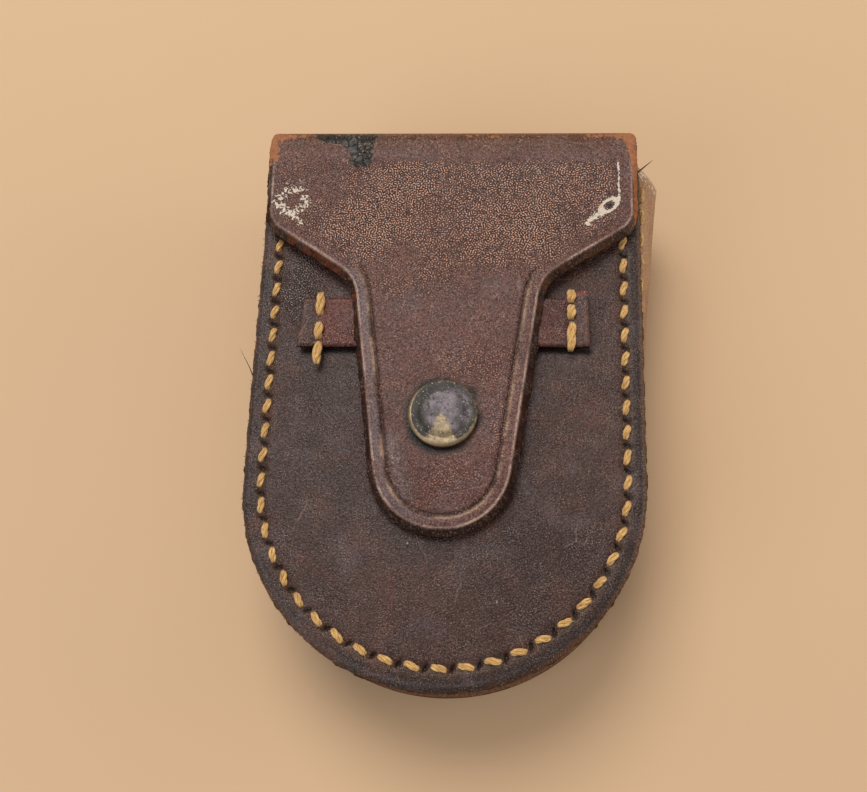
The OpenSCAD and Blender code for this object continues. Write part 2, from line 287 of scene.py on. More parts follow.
def make_piece(name, points, faces, material, attributes=None):
    """A mesh object in metres from points in millimetres and one or more arrays of faces."""
    groups = faces if isinstance(faces, list) else [faces]
    if sum(volume(points, group) for group in groups) < 0:
        groups = [group[:, ::-1] for group in groups]
    mesh = bpy.data.meshes.new(name)
    mesh.vertices.add(len(points))
    mesh.vertices.foreach_set("co", (points / MM).ravel())
    corners = np.concatenate([group.ravel() for group in groups])
    sides = np.concatenate([np.full(len(group), group.shape[1]) for group in groups])
    mesh.loops.add(len(corners))
    mesh.loops.foreach_set("vertex_index", corners)
    mesh.polygons.add(len(sides))
    mesh.polygons.foreach_set("loop_start", np.cumsum(sides) - sides)
    mesh.update(calc_edges=True)
    mesh.polygons.foreach_set("use_smooth", np.ones(len(sides), bool))
    for key, values in (attributes or {}).items():
        kind, field = ("FLOAT", "value") if values.ndim == 1 else ("FLOAT_VECTOR", "vector")
        attribute = mesh.attributes.new(key, kind, "POINT")
        attribute.data.foreach_set(field, values.astype(np.float32).ravel())
    mesh.materials.append(material)
    made = bpy.data.objects.new(name, mesh)
    bpy.context.scene.collection.objects.link(made)
    return made


def ring_walls(base):
    """Faces between neighbouring rings, from the numbers of their points: rings x points round."""
    a, b = base[..., :-1, :], base[..., 1:, :]
    return np.stack([a, np.roll(a, -1, axis=-1), np.roll(b, -1, axis=-1), b], axis=-1).reshape(-1, 4)


def tubes(paths, radii, ups, sides=8):
    """Closed tubes, one for each path: points and faces. Paths are tubes x stations x 3."""
    count, stations = paths.shape[:2]
    forward = np.gradient(paths, axis=1)
    forward /= np.linalg.norm(forward, axis=2, keepdims=True)
    across = np.cross(forward, ups[:, None, :])
    across /= np.linalg.norm(across, axis=2, keepdims=True)
    normal = np.cross(across, forward)
    angles = np.arange(sides) * 2 * math.pi / sides
    across, normal = across[:, :, None, :], normal[:, :, None, :]
    ring = np.cos(angles)[:, None] * across + np.sin(angles)[:, None] * normal
    points = paths[:, :, None, :] + radii[..., None, None] * ring
    base = np.arange(count * stations * sides).reshape(count, stations, sides)
    caps = np.concatenate([base[:, 0, ::-1], base[:, -1]])
    return points.reshape(-1, 3), [ring_walls(base), caps]


# ------ colours
RAW_ORANGE = (162, 106, 70)
EDGE_BROWN = (92, 60, 45)
FLESH_BROWN = (128, 94, 70)
ROOF_BROWN = (98, 66, 55)


def linear(colour):
    """A colour given in the usual 0 to 255 numbers, as linear light."""
    value = np.array(colour) / 255
    return np.where(value > 0.04045, ((value + 0.055) / 1.055) ** 2.4, value / 12.92)


class Paint:
    """The tint of each point of a piece, built up in layers of colour."""

    def __init__(self, count, colour):
        self.tint = np.tile(linear(colour), (count, 1))

    def lay(self, colour, cover):
        """Lays a colour over the tint, as thickly as cover says for each point."""
        cover = np.clip(cover, 0, 1)[:, None]
        self.tint = self.tint * (1 - cover) + linear(colour) * cover


# ------ material nodes
class Shader:
    """A material's node tree, with short calls for the nodes that this script uses."""

    def __init__(self, name):
        self.material = bpy.data.materials.new(name)
        self.material.use_nodes = True
        self.tree = self.material.node_tree
        self.tree.nodes.clear()

    def node(self, kind, inputs, **settings):
        """A node with its settings made and its inputs given as values or linked from other nodes."""
        made = self.tree.nodes.new(kind)
        for key, value in settings.items():
            setattr(made, key, value)
        for key, value in inputs.items():
            if isinstance(value, bpy.types.NodeSocket):
                self.tree.links.new(value, made.inputs[key])
            elif value is not None:
                made.inputs[key].default_value = value
        return made

    def attribute(self, name, output="Vector"):
        """Values stored in the mesh."""
        return self.node("ShaderNodeAttribute", {}, attribute_name=name).outputs[output]

    def object_place(self):
        """The place in the object, in millimetres."""
        here = self.node("ShaderNodeTexCoord", {}).outputs["Object"]
        return self.stretch(here, (MM, MM, MM))

    def split(self, vector):
        """The three numbers of a vector."""
        return list(self.node("ShaderNodeSeparateXYZ", {"Vector": vector}).outputs)

    def noise(self, place, size, detail=3.0, distortion=0.0):
        """Cloudy values from 0 to 1, changing over the given size in millimetres."""
        inputs = {"Vector": place, "Scale": 1 / size, "Detail": detail, "Distortion": distortion}
        return self.node("ShaderNodeTexNoise", inputs).outputs["Fac"]

    def cell_edges(self, place, size):
        """Distance to the nearest line of a net of uneven cells."""
        inputs = {"Vector": place, "Scale": 1 / size}
        return self.node("ShaderNodeTexVoronoi", inputs, feature="DISTANCE_TO_EDGE").outputs["Distance"]

    def worms(self, place, spacing):
        """Short winding ridges at an even spacing: 0 in the grooves, 0.5 halfway and 1 on the ridges."""
        inputs = {"Vector": place, "Scale": 0.5 / spacing, "Frequency": 2.0, "Anisotropy": 0.0}
        return self.node("ShaderNodeTexGabor", inputs, gabor_type="2D").outputs["Value"]

    def ease(self, value, low, high, to_low=0.0, to_high=1.0):
        """Eases value from low..high to to_low..to_high."""
        inputs = {"Value": value, "From Min": low, "From Max": high, "To Min": to_low, "To Max": to_high}
        return self.node("ShaderNodeMapRange", inputs, interpolation_type="SMOOTHSTEP").outputs[0]

    def sum(self, *terms):
        """Adds values, each given as (value, share)."""
        total = 0.0
        for value, share in terms:
            inputs = {0: value, 1: share, 2: total}
            total = self.node("ShaderNodeMath", inputs, operation="MULTIPLY_ADD").outputs[0]
        return total

    def times(self, a, b):
        """Two values multiplied."""
        return self.node("ShaderNodeMath", {0: a, 1: b}, operation="MULTIPLY").outputs[0]

    def warp(self, place, amount, size):
        """A place moved about by soft noise of the given size."""
        cloud = self.node("ShaderNodeTexNoise", {"Vector": place, "Scale": 1 / size}).outputs["Color"]
        inputs = {0: cloud, 1: (amount * size,) * 3, 2: place}
        return self.node("ShaderNodeVectorMath", inputs, operation="MULTIPLY_ADD").outputs[0]

    def stretch(self, place, scales):
        """A place with each direction scaled by its own number."""
        return self.node("ShaderNodeVectorMath", {0: place, 1: scales}, operation="MULTIPLY").outputs[0]

    def mix(self, factor, a, b, blend="MIX"):
        """Two colours mixed."""
        a, b = ((*linear(c), 1.0) if isinstance(c, tuple) else c for c in (a, b))
        made = self.node("ShaderNodeMix", {0: factor, 6: a, 7: b}, data_type="RGBA", blend_type=blend)
        return made.outputs[2]

    def over(self, under, colour, *shares):
        """A colour laid over another as thickly as the product of the shares."""
        cover = shares[0]
        for share in shares[1:]:
            cover = self.times(cover, share)
        return self.mix(cover, under, colour)

    def shade(self, colour, value, low, high):
        """A colour made darker or lighter: low where value is 0 and high where it is 1."""
        grey = self.node("ShaderNodeMapRange", {"Value": value, "To Min": low, "To Max": high})
        return self.mix(1.0, colour, grey.outputs[0], "MULTIPLY")

    def bump(self, height, depth, normal=None):
        """A normal from a height whose 1 stands for the given depth in millimetres."""
        inputs = {"Height": height, "Distance": depth / MM, "Strength": 1.0, "Normal": normal}
        return self.node("ShaderNodeBump", inputs).outputs[0]

    def finish(self, colour, rough, normal, metallic=0.0, **more):
        """Joins everything up to the surface and returns the material."""
        inputs = {"Base Color": colour, "Roughness": rough, "Metallic": metallic, "Normal": normal}
        inputs.update({key.replace("_", " "): value for key, value in more.items()})
        surface = self.node("ShaderNodeBsdfPrincipled", inputs)
        self.node("ShaderNodeOutputMaterial", {"Surface": surface.outputs[0]})
        return self.material


def leather_material(name, worm, worm_depth, gloss, crest_highlight):
    """Aged waxed leather: grain with a painted highlight on its crests and painted shade in its valleys,
    then a raw cut side, then bare spots, ink, scuffs, and dirt mixed with painted shade laid over it.

    Its meshes carry where they lie flat, a tint, three marks and three skin values for each point.
    """
    sh = Shader(name)
    rest = sh.attribute("rest")
    tint = sh.attribute("tint", "Color")
    worn, scuff, stain = sh.split(sh.attribute("marks"))
    grain, raw_side, dirt_and_shade = sh.split(sh.attribute("skin"))

    broad = sh.noise(rest, 9.0, 4.0)
    patch = sh.noise(rest, 2.6, 5.0, 0.4)
    fine = sh.noise(rest, 0.5, 4.0)
    speck = sh.noise(rest, 0.25, 2.0)
    winding = sh.worms(sh.warp(rest, 0.12, 2.5), worm)
    grain_here = sh.times(grain, sh.ease(patch, 0.3, 0.55, 0.6, 1.0))
    raised = sh.sum((winding, 1.0), (grain_here, 0.14), (fine, 0.3))
    crest = sh.times(sh.ease(raised, 0.76, 0.92), sh.ease(grain_here, 0.0, 0.7, 0.22, 1.0))
    valley = sh.times(sh.ease(sh.sum((winding, 1.0), (fine, 0.25)), 0.78, 0.54), grain_here)

    colour = sh.shade(tint, broad, 0.48, 0.88)
    colour = sh.shade(colour, patch, 0.58, 1.38)
    reddish = sh.ease(sh.noise(rest, 5.0, 3.0), 0.5, 0.7)
    greyish = sh.ease(sh.noise(rest, 6.5, 4.0), 0.52, 0.72)
    colour = sh.over(colour, (98, 56, 43), reddish, 0.3)
    colour = sh.over(colour, (104, 92, 96), greyish, 0.2)
    colour = sh.shade(colour, fine, 0.3, 1.7)
    glints = sh.sum((speck, 1.0), (sh.noise(rest, 4.0, 3.0), 0.3))
    colour = sh.over(colour, (176, 144, 128), sh.ease(glints, 0.74, 0.9), 0.5)
    colour = sh.over(colour, (24, 15, 12), sh.ease(speck, 0.44, 0.3), 0.75)
    # painted shade in the grain's valleys, then a painted highlight on its crests
    colour = sh.over(colour, (30, 17, 13), valley, 0.97)
    colour = sh.over(colour, crest_highlight, crest, 0.82)
    lines = sh.cell_edges(sh.stretch(sh.warp(rest, 0.25, 3.0), (1.0, 0.6, 1.0)), 9.0)
    scratch = sh.times(sh.ease(lines, 0.012, 0.0), sh.ease(sh.noise(rest, 7.0, 2.0), 0.5, 0.66))
    colour = sh.over(colour, (160, 134, 122), scratch, 0.3)

    fibres = sh.noise(sh.stretch(rest, (1.0, 1.0, 4.0)), 0.5, 4.0)
    colour = sh.mix(raw_side, colour, sh.shade(tint, fibres, 0.1, 1.7))

    ragged = sh.sum((worn, 1.0), (sh.noise(rest, 0.9, 5.0), 0.9), (speck, 0.2))
    worn_here = sh.ease(ragged, 0.93, 1.05)
    raw = sh.mix(sh.ease(fine, 0.35, 0.65), RAW_ORANGE, (140, 88, 58))
    colour = sh.mix(worn_here, colour, sh.shade(raw, speck, 0.6, 1.4))

    inky = sh.ease(sh.sum((stain, 1.0), (sh.noise(rest, 1.5, 6.0, 0.5), 0.9)), 0.76, 0.98)
    ink = sh.mix(sh.ease(patch, 0.42, 0.6), (34, 32, 27), (72, 70, 66))
    colour = sh.over(colour, sh.shade(ink, fine, 0.1, 1.6), inky, 0.94)
    cracks = sh.times(sh.ease(sh.cell_edges(sh.warp(rest, 0.6, 1.5), 1.5), 0.1, 0.02), inky)
    colour = sh.over(colour, (12, 10, 9), cracks, 0.9)
    flecks = sh.ease(sh.noise(rest, 0.5, 2.0), 0.6, 0.66)
    colour = sh.over(colour, (160, 128, 96), flecks, sh.ease(stain, 0.5, 0.9), 0.7)

    chalk = sh.ease(sh.sum((scuff, 1.0), (sh.noise(rest, 0.55, 3.0, 0.8), 1.7)), 1.3, 1.38)
    colour = sh.over(colour, sh.shade((232, 216, 196), speck, 0.7, 1.15), chalk, 0.85)
    # dirt, and painted shade in stitch slits, creases and under the strap, laid on dark
    grime_and_shade = sh.ease(sh.sum((dirt_and_shade, 1.0), (fine, 0.7)), 0.62, 1.1)
    colour = sh.over(colour, (25, 22, 18), grime_and_shade, 0.92)

    height = sh.sum((fine, 0.6), (speck, 0.35), (patch, 0.6), (scratch, -0.4), (cracks, -0.8))
    normal = sh.bump(sh.sum((height, 1.0), (fibres, sh.times(raw_side, 1.6))), 0.2)
    ridges = sh.times(sh.ease(winding, 0.36, 0.72), sh.sum((grain_here, 0.9), (1.0, 0.1)))
    normal = sh.bump(ridges, worm_depth, normal)
    normal = sh.bump(sh.sum((worn_here, -0.5), (chalk, 0.5), (inky, 0.3)), 0.12, normal)
    rough = sh.sum((patch, 0.3), (raw_side, 0.35), (worn_here, 0.3), (1.0, 0.34 - 0.28 * gloss))
    shine = sh.sum((crest, 0.4), (fine, 0.5), (raw_side, -0.3), (1.0, 0.05))
    return sh.finish(colour, rough, normal, Specular_IOR_Level=shine)


def thread_material(name):
    """Waxed thread: golden, with fine fibres along each ply, and dirt and painted shade where it dives
    into the leather.
    """
    sh = Shader(name)
    rest = sh.attribute("rest")
    sunk = sh.split(sh.attribute("skin"))[0]
    fibres = sh.noise(sh.stretch(rest, (0.16, 1.0, 1.0)), 0.14, 3.0, 0.3)
    patch = sh.noise(rest, 1.3, 3.0)
    colour = sh.mix(sh.ease(fibres, 0.3, 0.7), (158, 108, 52), (236, 192, 116))
    colour = sh.shade(colour, patch, 0.75, 1.2)
    # darker where the thread sinks into its hole: dirt and painted shade
    colour = sh.mix(sh.ease(sunk, 0.3, 1.0), colour, (88, 56, 30))
    return sh.finish(colour, 0.72, sh.bump(fibres, 0.1), Sheen_Weight=0.3)


def brass_material(name, patina):
    """Old brass with brown and grey patina in soft patches and a scratched finish."""
    sh = Shader(name)
    place = sh.object_place()
    cloud = sh.noise(place, 2.2, 5.0, 0.5)
    fine = sh.noise(place, 0.35, 4.0)
    colour = sh.mix(sh.ease(cloud, 0.35, 0.65), (176, 148, 98), (96, 88, 74))
    colour = sh.shade(colour, fine, 0.7, 1.25)
    rough = sh.sum((fine, 0.3), (cloud, 0.25), (1.0, 0.15 + 0.2 * patina))
    return sh.finish(colour, rough, sh.bump(fine, 0.03), metallic=0.8)


def cap_material(name):
    """The press stud's cap: slate patina over brass, rubbed bright on the rim, more so towards the lower
    left as a painted highlight, and in one low patch.
    """
    sh = Shader(name)
    rest = sh.attribute("rest")
    bright, olive, dirt_and_shade = sh.split(sh.attribute("skin"))
    cloud = sh.noise(rest, 2.4, 5.0)
    blotch = sh.noise(rest, 0.9, 6.0)
    fine = sh.noise(rest, 0.3, 4.0)
    slate = sh.mix(sh.ease(cloud, 0.38, 0.62), (74, 68, 68), (118, 108, 114))
    slate = sh.mix(sh.ease(blotch, 0.54, 0.66), slate, (56, 48, 56))
    dark = sh.mix(sh.ease(cloud, 0.4, 0.6), (34, 30, 26), (58, 51, 44))
    around = sh.ease(sh.sum((olive, 0.9), (cloud, 0.7), (blotch, 0.5)), 0.6, 1.5)
    colour = sh.mix(around, slate, dark)
    rubbed_and_lit = sh.ease(sh.sum((bright, 1.0), (blotch, 0.6), (fine, 0.5)), 0.84, 1.3)
    colour = sh.over(colour, sh.shade((150, 132, 104), blotch, 0.5, 1.5), rubbed_and_lit, 0.9)
    colour = sh.over(colour, (206, 200, 190), sh.ease(fine, 0.62, 0.7), 0.5)
    colour = sh.shade(colour, fine, 0.66, 1.3)
    colour = sh.mix(sh.ease(sh.sum((dirt_and_shade, 1.0), (fine, 0.5)), 0.6, 0.95), colour, (22, 20, 16))
    rough = sh.sum((fine, 0.3), (rubbed_and_lit, -0.1), (1.0, 0.4))
    metal = sh.sum((rubbed_and_lit, 0.45), (1.0, 0.3))
    return sh.finish(colour, rough, sh.bump(sh.sum((fine, 0.6), (blotch, 0.8)), 0.05), metallic=metal)


def fibre_material(name):
    """Loose dark fibres pulled out of the leather's edges."""
    sh = Shader(name)
    rest = sh.attribute("rest")
    colour = sh.mix(sh.noise(rest, 1.0), (38, 26, 20), (92, 62, 44))
    return sh.finish(colour, 0.8, sh.bump(sh.noise(rest, 0.3), 0.02))


FLAP_LEATHER = leather_material("flap_leather", 0.47, 0.15, 0.5, (212, 158, 130))
PANEL_LEATHER = leather_material("panel_leather", 0.5, 0.2, 0.75, (142, 118, 110))
STRAP_LEATHER = leather_material("strap_leather", 0.5, 0.1, 0.6, (176, 124, 104))
TAN_LEATHER = leather_material("tan_leather", 0.5, 0.04, 0.2, (212, 158, 130))
THREAD = thread_material("waxed_thread")
BRASS = brass_material("aged_brass", 0.5)
STEEL = brass_material("spring_wire", 0.2)
CAP_METAL = cap_material("cap_patina")
FIBRE = fibre_material("leather_fibre")


# ------ shaping shared by the leather pieces
EDGE_SOFTNESS = 0.14
UNDER_ROUND = 0.8
UNDER_LIFT = 0.3
CUT_SIDE = 0.42


def columns(count, *values):
    """Values side by side for each point; a plain number is the same for all of them."""
    return np.column_stack([np.broadcast_to(value, count) for value in values])


def dress(made, slot, body, *nodes):
    """Attaches a piece to its body, unless body is None, and hides its CAD nodes. slot is not used."""
    if body:
        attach(made, body)
    if nodes:
        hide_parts(*nodes)


class Slab:
    """A flat slab of leather as an even mesh. Its points are moved; rest keeps where they lay flat."""

    def __init__(self, outline, low, high, voxel):
        self.low, self.high = low, high
        self.points, self.faces = remeshed(outline, low, high, voxel)
        self.rest = self.points.copy()
        self.x, self.y = self.rest[:, 0], self.rest[:, 1]

    def round_edges(self, depth, width, drop, cut_side=CUT_SIDE):
        """Bevels the upper edge over width by drop and rounds the lower edge a little.

        depth is each point's distance from the outline. After this, share goes from 0 on the underside
        to 1 on the face, and side is 1 on the cut side and the underside and 0 on the face.
        """
        self.depth = depth
        self.share = np.clip((self.points[:, 2] - self.low) / (self.high - self.low), 0, 1)
        near = np.clip(1 - depth / width, 0, 1.2)
        fall = drop * near**2 * (1 + EDGE_SOFTNESS) / (near + EDGE_SOFTNESS)
        lift = UNDER_LIFT * np.clip(1 - depth / UNDER_ROUND, 0, 1) ** 2
        self.points[:, 2] += lift * (1 - self.share) - fall * self.share
        wall = smooth(cut_side - depth, 0, cut_side) * smooth(0.93 - self.share, 0, 0.12)
        self.side = np.maximum(wall, smooth(0.55 - self.share, 0, 0.3))

    def fray(self, amount, seed):
        """How far the cut side stands in or out, as a knife and years of wear leave it."""
        edge = smooth(0.6 - self.depth, 0, 0.6)
        return amount * edge * roughness(self.rest, 1.4, seed) * (1.3 - self.share)

    def near_edge(self, inset, width):
        """1 along a line at the inset from the outline, fading over the width."""
        return bell(self.depth - inset, width)

    def piece(self, name, material, paint, skin, marks, apart=0.0):
        """The mesh object, from skin (grain, raw side, dirt and painted shade) and marks (worn, scuffs,
        stain).

        apart sets its place in the textures off from the other pieces'.
        """
        count = len(self.points)
        attributes = {
            "rest": self.rest + (0, 0, apart),
            "tint": paint.tint,
            "skin": columns(count, *skin),
            "marks": columns(count, *marks),
        }
        return make_piece(name, self.points, self.faces, material, attributes)


# ------ front panel
STITCH_COUNT = 2 * int(SEAM_HALF / STITCH_PITCH) + 1
STITCH_S = (np.arange(STITCH_COUNT) - (STITCH_COUNT - 1) / 2) * STITCH_PITCH + STITCH_PHASE


def panel_height(points):
    """How far the front or back leather's face stands off its plane, and where its stitch slits are."""
    flat = np.column_stack([points[:, :2], np.zeros(len(points))])
    reach, s = u_coordinates(points)
    out = reach - SEAM_R
    middle = smooth(-out, 0.5, 16)
    height = 0.55 * middle * smooth(MOUTH_Y - points[:, 1], -4, 20)
    height += 0.16 * bumps(flat, 17.0, 11) * middle + 0.07 * roughness(flat, 5.0, 15)
    height -= 0.3 * bell(out, 0.8)
    height -= 0.35 * smooth(out, 0.4, SEAM_INSET)
    step = (s - STITCH_PHASE) / STITCH_PITCH + 0.5
    along = (step - np.round(step)) * STITCH_PITCH
    slit = bell(along + 0.55 * out, 0.34) * bell(out, 0.75)
    return height, slit * (points[:, 1] < MOUTH_Y - 1.5)


def front_paint(slab):
    """Dark brown, redder low down, with a worn rim, a dark seam, a painted highlight (left) and painted
    shade (right) on the creased line by the edge, and painted shade under the flap.
    """
    rest, depth = slab.rest, slab.depth
    off_seam = u_coordinates(rest, RIM_R, RIM_Y)[0] - SEAM_R
    right, left = smooth(rest[:, 0], 5, 25), smooth(-rest[:, 0], 5, 25)
    bevel = smooth(1.0 - depth, 0, 0.5)
    rubbed_bevel = bevel * np.maximum(right, 0.8 * left * smooth(-rest[:, 1], 25, 40))
    paint = Paint(len(rest), (68, 43, 37))
    paint.lay((88, 55, 46), 0.8 * spot(rest, (-6, -36), (15, 10)))
    paint.lay((90, 64, 57), 0.7 * spot(rest, (26, -3), (9, 18)))
    paint.lay((66, 46, 41), 0.7 * spot(rest, (-27, 29), (9, 9)))
    paint.lay((75, 53, 47), 0.6 * spot(rest, (-24, -12), (9, 18)))
    paint.lay((58, 42, 38), 0.6 * spot(rest, (0, -28), (17, 6)))
    paint.lay((54, 43, 41), 0.75 * smooth(SEAM_INSET - depth, -0.2, 0.9))
    # painted highlight on the creased line by the edge, fading to the right; on the right the line gets
    # painted shade instead
    paint.lay((104, 92, 90), 0.4 * slab.near_edge(1.15, 0.3) * (1 - 0.6 * right))
    paint.lay((40, 29, 25), 0.75 * slab.near_edge(1.15, 0.25) * right)
    paint.lay((54, 42, 38), 0.8 * bevel)
    paint.lay((112, 76, 52), 0.6 * rubbed_bevel)
    paint.lay((40, 29, 25), 0.8 * bell(off_seam, 0.8))
    paint.lay((128, 82, 44), 0.28 * bell(off_seam, 1.2))
    paint.lay(EDGE_BROWN, slab.side)
    # painted shade under the flap, darker towards the mouth
    paint.lay((46, 34, 31), 0.6 * smooth(slab.points[:, 1], 28, 44))
    return paint


def front_leather():
    """The front: a U-shaped panel, crowned a little, with stitch slits darkened by painted shade and a
    painted shadow along the strap's lower edge.
    """
    slab = Slab(u_outline(RIM_R, RIM_Y, MOUTH_Y, 1.5), FRONT_LOW[2], FACE_Z, FRONT_VOXEL)
    rest, points = slab.rest, slab.points
    reach, _ = u_coordinates(rest, RIM_R, RIM_Y)
    slab.round_edges(np.minimum(RIM_R - reach, MOUTH_Y - rest[:, 1]), 0.9, 0.7)
    height, hole = panel_height(points)
    points[:, 2] += height * slab.share - 1.1 * hole * slab.share
    points[:, :2] *= (1 + slab.fray(0.22, 40) / RIM_R)[:, None]

    grain = 0.75 * spot(rest, (-28.5, 22), (3.4, 9)) + 0.2 * patches(rest, 9.0, 50, -0.1, 0.8)
    grain *= smooth(slab.depth, 2.0, 5.0)
    worn = 0.3 * slab.near_edge(0.15, 0.5) * patches(rest, 6.0, 60, -0.1, 0.7)
    scuffs = 0.2 * (streak(rest, (2, -30), (13, -40), 0.4) + streak(rest, (-14, -32), (-3, -26), 0.4))
    # painted shadow along the strap's lower edge
    strap_shadow = streak(rest, (-26.5, 8.4), (26.5, 8.9), 0.7)
    # painted shade in the stitch slits and the strap's painted shadow, laid on as dark grime
    skin = grain, slab.side, 1.25 * hole + 0.9 * strap_shadow
    made = slab.piece("front_leather", PANEL_LEATHER, front_paint(slab), skin, (worn, scuffs, 0.0))
    dress(made, "brown_leather", "case", "front_panel")


# ------ leather that folds over the roof
def fold_over(points, start, inner, thickness):
    """Bends a flat slab a quarter turn: past start it goes round the fold and on straight down."""
    x, run, height = points.T
    arc = (inner + thickness / 2) * math.pi / 2
    angle = np.clip((run - start) / arc, 0, 1) * math.pi / 2
    down = np.maximum(run - start - arc, 0)
    radius = inner + height
    y = np.where(run < start, run, start + radius * np.sin(angle))
    z = np.where(run < start, height, -inner + radius * np.cos(angle) - down)
    return np.column_stack([x, y, z])


def blend_at(made):
    """Bakes the piece's place and turn into its mesh."""
    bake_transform(made)


FOLD_START = FOLD_Y - FOLD_INNER_R
FLAP_SIDE = FLAP_HIGH[0] - 0.2
FLAP_ARC = (FOLD_INNER_R + FLAP_T / 2) * math.pi / 2
FLAP_END = FOLD_START + FLAP_ARC + (FLAP_UNDER_Z - FOLD_INNER_R - ROOF_MIDDLE_Z)


def flap_droop(rest):
    """How far the flap's leather sags or stands off, at places on the flat flap."""
    flat = np.column_stack([rest[:, :2], np.zeros(len(rest))])
    x, y = rest[:, 0], rest[:, 1]
    height = 0.18 * bumps(flat, 14.0, 70) + 0.05 * roughness(flat, 4.0, 74)
    height -= 1.1 * smooth(np.abs(x), 20, 36) * smooth(y, 22, 30) * smooth(-y, -50, -36)
    height -= 1.3 * smooth(-y, 12, 27)
    height += 0.35 * spot(rest, (0, 14), (16, 7))
    height -= 0.45 * bell(np.hypot(x - STUD[0], y - STUD[1]), 8.5)
    return height


def flap_slab():
    """The flap and half of the roof, cut out flat, bevelled and pressed, then folded.

    crease is 1 on the tongue's pressed line, and band is 1 on the strip outside it.
    """
    right = [(FLAP_SIDE, FLAP_END, 0), SHOULDER, TONGUE_ROOT, (TONGUE_END_X, TIP_Y, TONGUE_END_R)]
    outline = rounded(right + [(-x, y, r) for x, y, r in reversed(right)])
    slab = Slab(outline, 0.0, FLAP_T, FLAP_VOXEL)
    rest, points = slab.rest, slab.points
    depth = depth_inside(rest[:, :2], outline)
    off_side = np.minimum(FLAP_SIDE - np.abs(rest[:, 0]), 9)
    depth = np.where(FLAP_END - rest[:, 1] < 1.5, off_side, depth)
    at_fold = smooth(rest[:, 1], 38, 48)
    slab.round_edges(depth, 1.15 - 0.45 * at_fold, 1.75 - 1.1 * at_fold)

    slab.on_tongue = smooth(CREASE_TOP - rest[:, 1], -1.5, 2.5)
    slab.crease = slab.near_edge(CREASE_INSET, 0.32) * slab.on_tongue
    slab.band = smooth(depth, 0.8, 2.2) * smooth(CREASE_INSET - depth, 0.2, 0.9) * slab.on_tongue
    points[:, 2] += slab.share * (0.16 * slab.band - 0.5 * slab.crease)
    points[:, 2] += flap_droop(rest) * smooth(FOLD_START - rest[:, 1], 0, 14)
    outward = slab.fray(0.34, 80)
    notches = np.abs(roughness(rest * (1, 1, 0.3), 0.9, 88))
    points[:, 2] -= 0.3 * notches * smooth(1.25 - depth, 0, 0.5) * slab.share
    points[:, 0] += outward * np.sign(points[:, 0]) * smooth(np.abs(points[:, 0]), 8, 16)
    points[:, 1] -= outward * smooth(-rest[:, 1], 10, 20)
    points[:, 2] *= 1 - (1 - BACK_T / FLAP_T) * smooth(rest[:, 1], FOLD_START + FLAP_ARC, FLAP_END - 1)
    slab.points = fold_over(points, FOLD_START, FOLD_INNER_R, FLAP_T)
    slab.points[:, 2] += FLAP_UNDER_Z
    return slab


def flap_torn(slab):
    """Where the flap's bevel is torn to fibres."""
    bevel = smooth(1.2 - slab.depth, 0, 0.35)
    return bevel * patches(slab.rest, 3.0, 89, -0.5, 0.5) * smooth(FOLD_START - 3 - slab.rest[:, 1], 0, 3)


def flap_face_paint(slab):
    """Red-brown, greyer to the right and the fold, redder on the tongue, with a painted sheen on a streak
    and on the tongue's left strip, painted shade in the pressed line and a pale line outside it that is
    partly worn edge and partly painted highlight.
    """
    rest, x, y = slab.rest, slab.x, slab.y
    patchy = patches(rest, 5.0, 96, -0.35, 0.4)
    paint = Paint(len(rest), (108, 66, 55))
    paint.lay((99, 57, 46), 0.85 * spot(rest, (-26, 38), (11, 15)))
    paint.lay((116, 86, 79), 0.6 * spot(rest, (26, 42), (12, 10)))
    paint.lay((92, 74, 70), 0.5 * spot(rest, (10, 42), (6, 3)))
    paint.lay((106, 69, 60), 0.8 * smooth(24 - y, 0, 9))
    paint.lay((116, 68, 58), 0.8 * spot(rest, (4, 4.5), (8, 5)))
    paint.lay((108, 62, 53), 0.8 * spot(rest, (2, -17), (9, 6)))
    paint.lay((108, 62, 54), 0.7 * spot(rest, (10, -6), (4, 10)))
    # painted sheen: a pale streak on the tongue, and the pale left strip outside the pressed line
    paint.lay((128, 112, 112), 0.55 * streak(rest, (-9.4, -9.5), (-6.4, -19.5), 1.3))
    paint.lay((124, 106, 108), 0.75 * slab.band * smooth(-x, -2, 10))
    paint.lay((116, 80, 72), 0.7 * slab.band * smooth(x, 0, 8))
    # painted shade in the pressed line; outside it, a pale line that is partly a worn edge and partly a
    # painted highlight
    paint.lay((46, 29, 24), 0.85 * slab.crease)
    paint.lay((206, 168, 140), 0.9 * slab.near_edge(CREASE_INSET - 0.5, 0.26) * slab.on_tongue * patchy)
    return paint, patchy


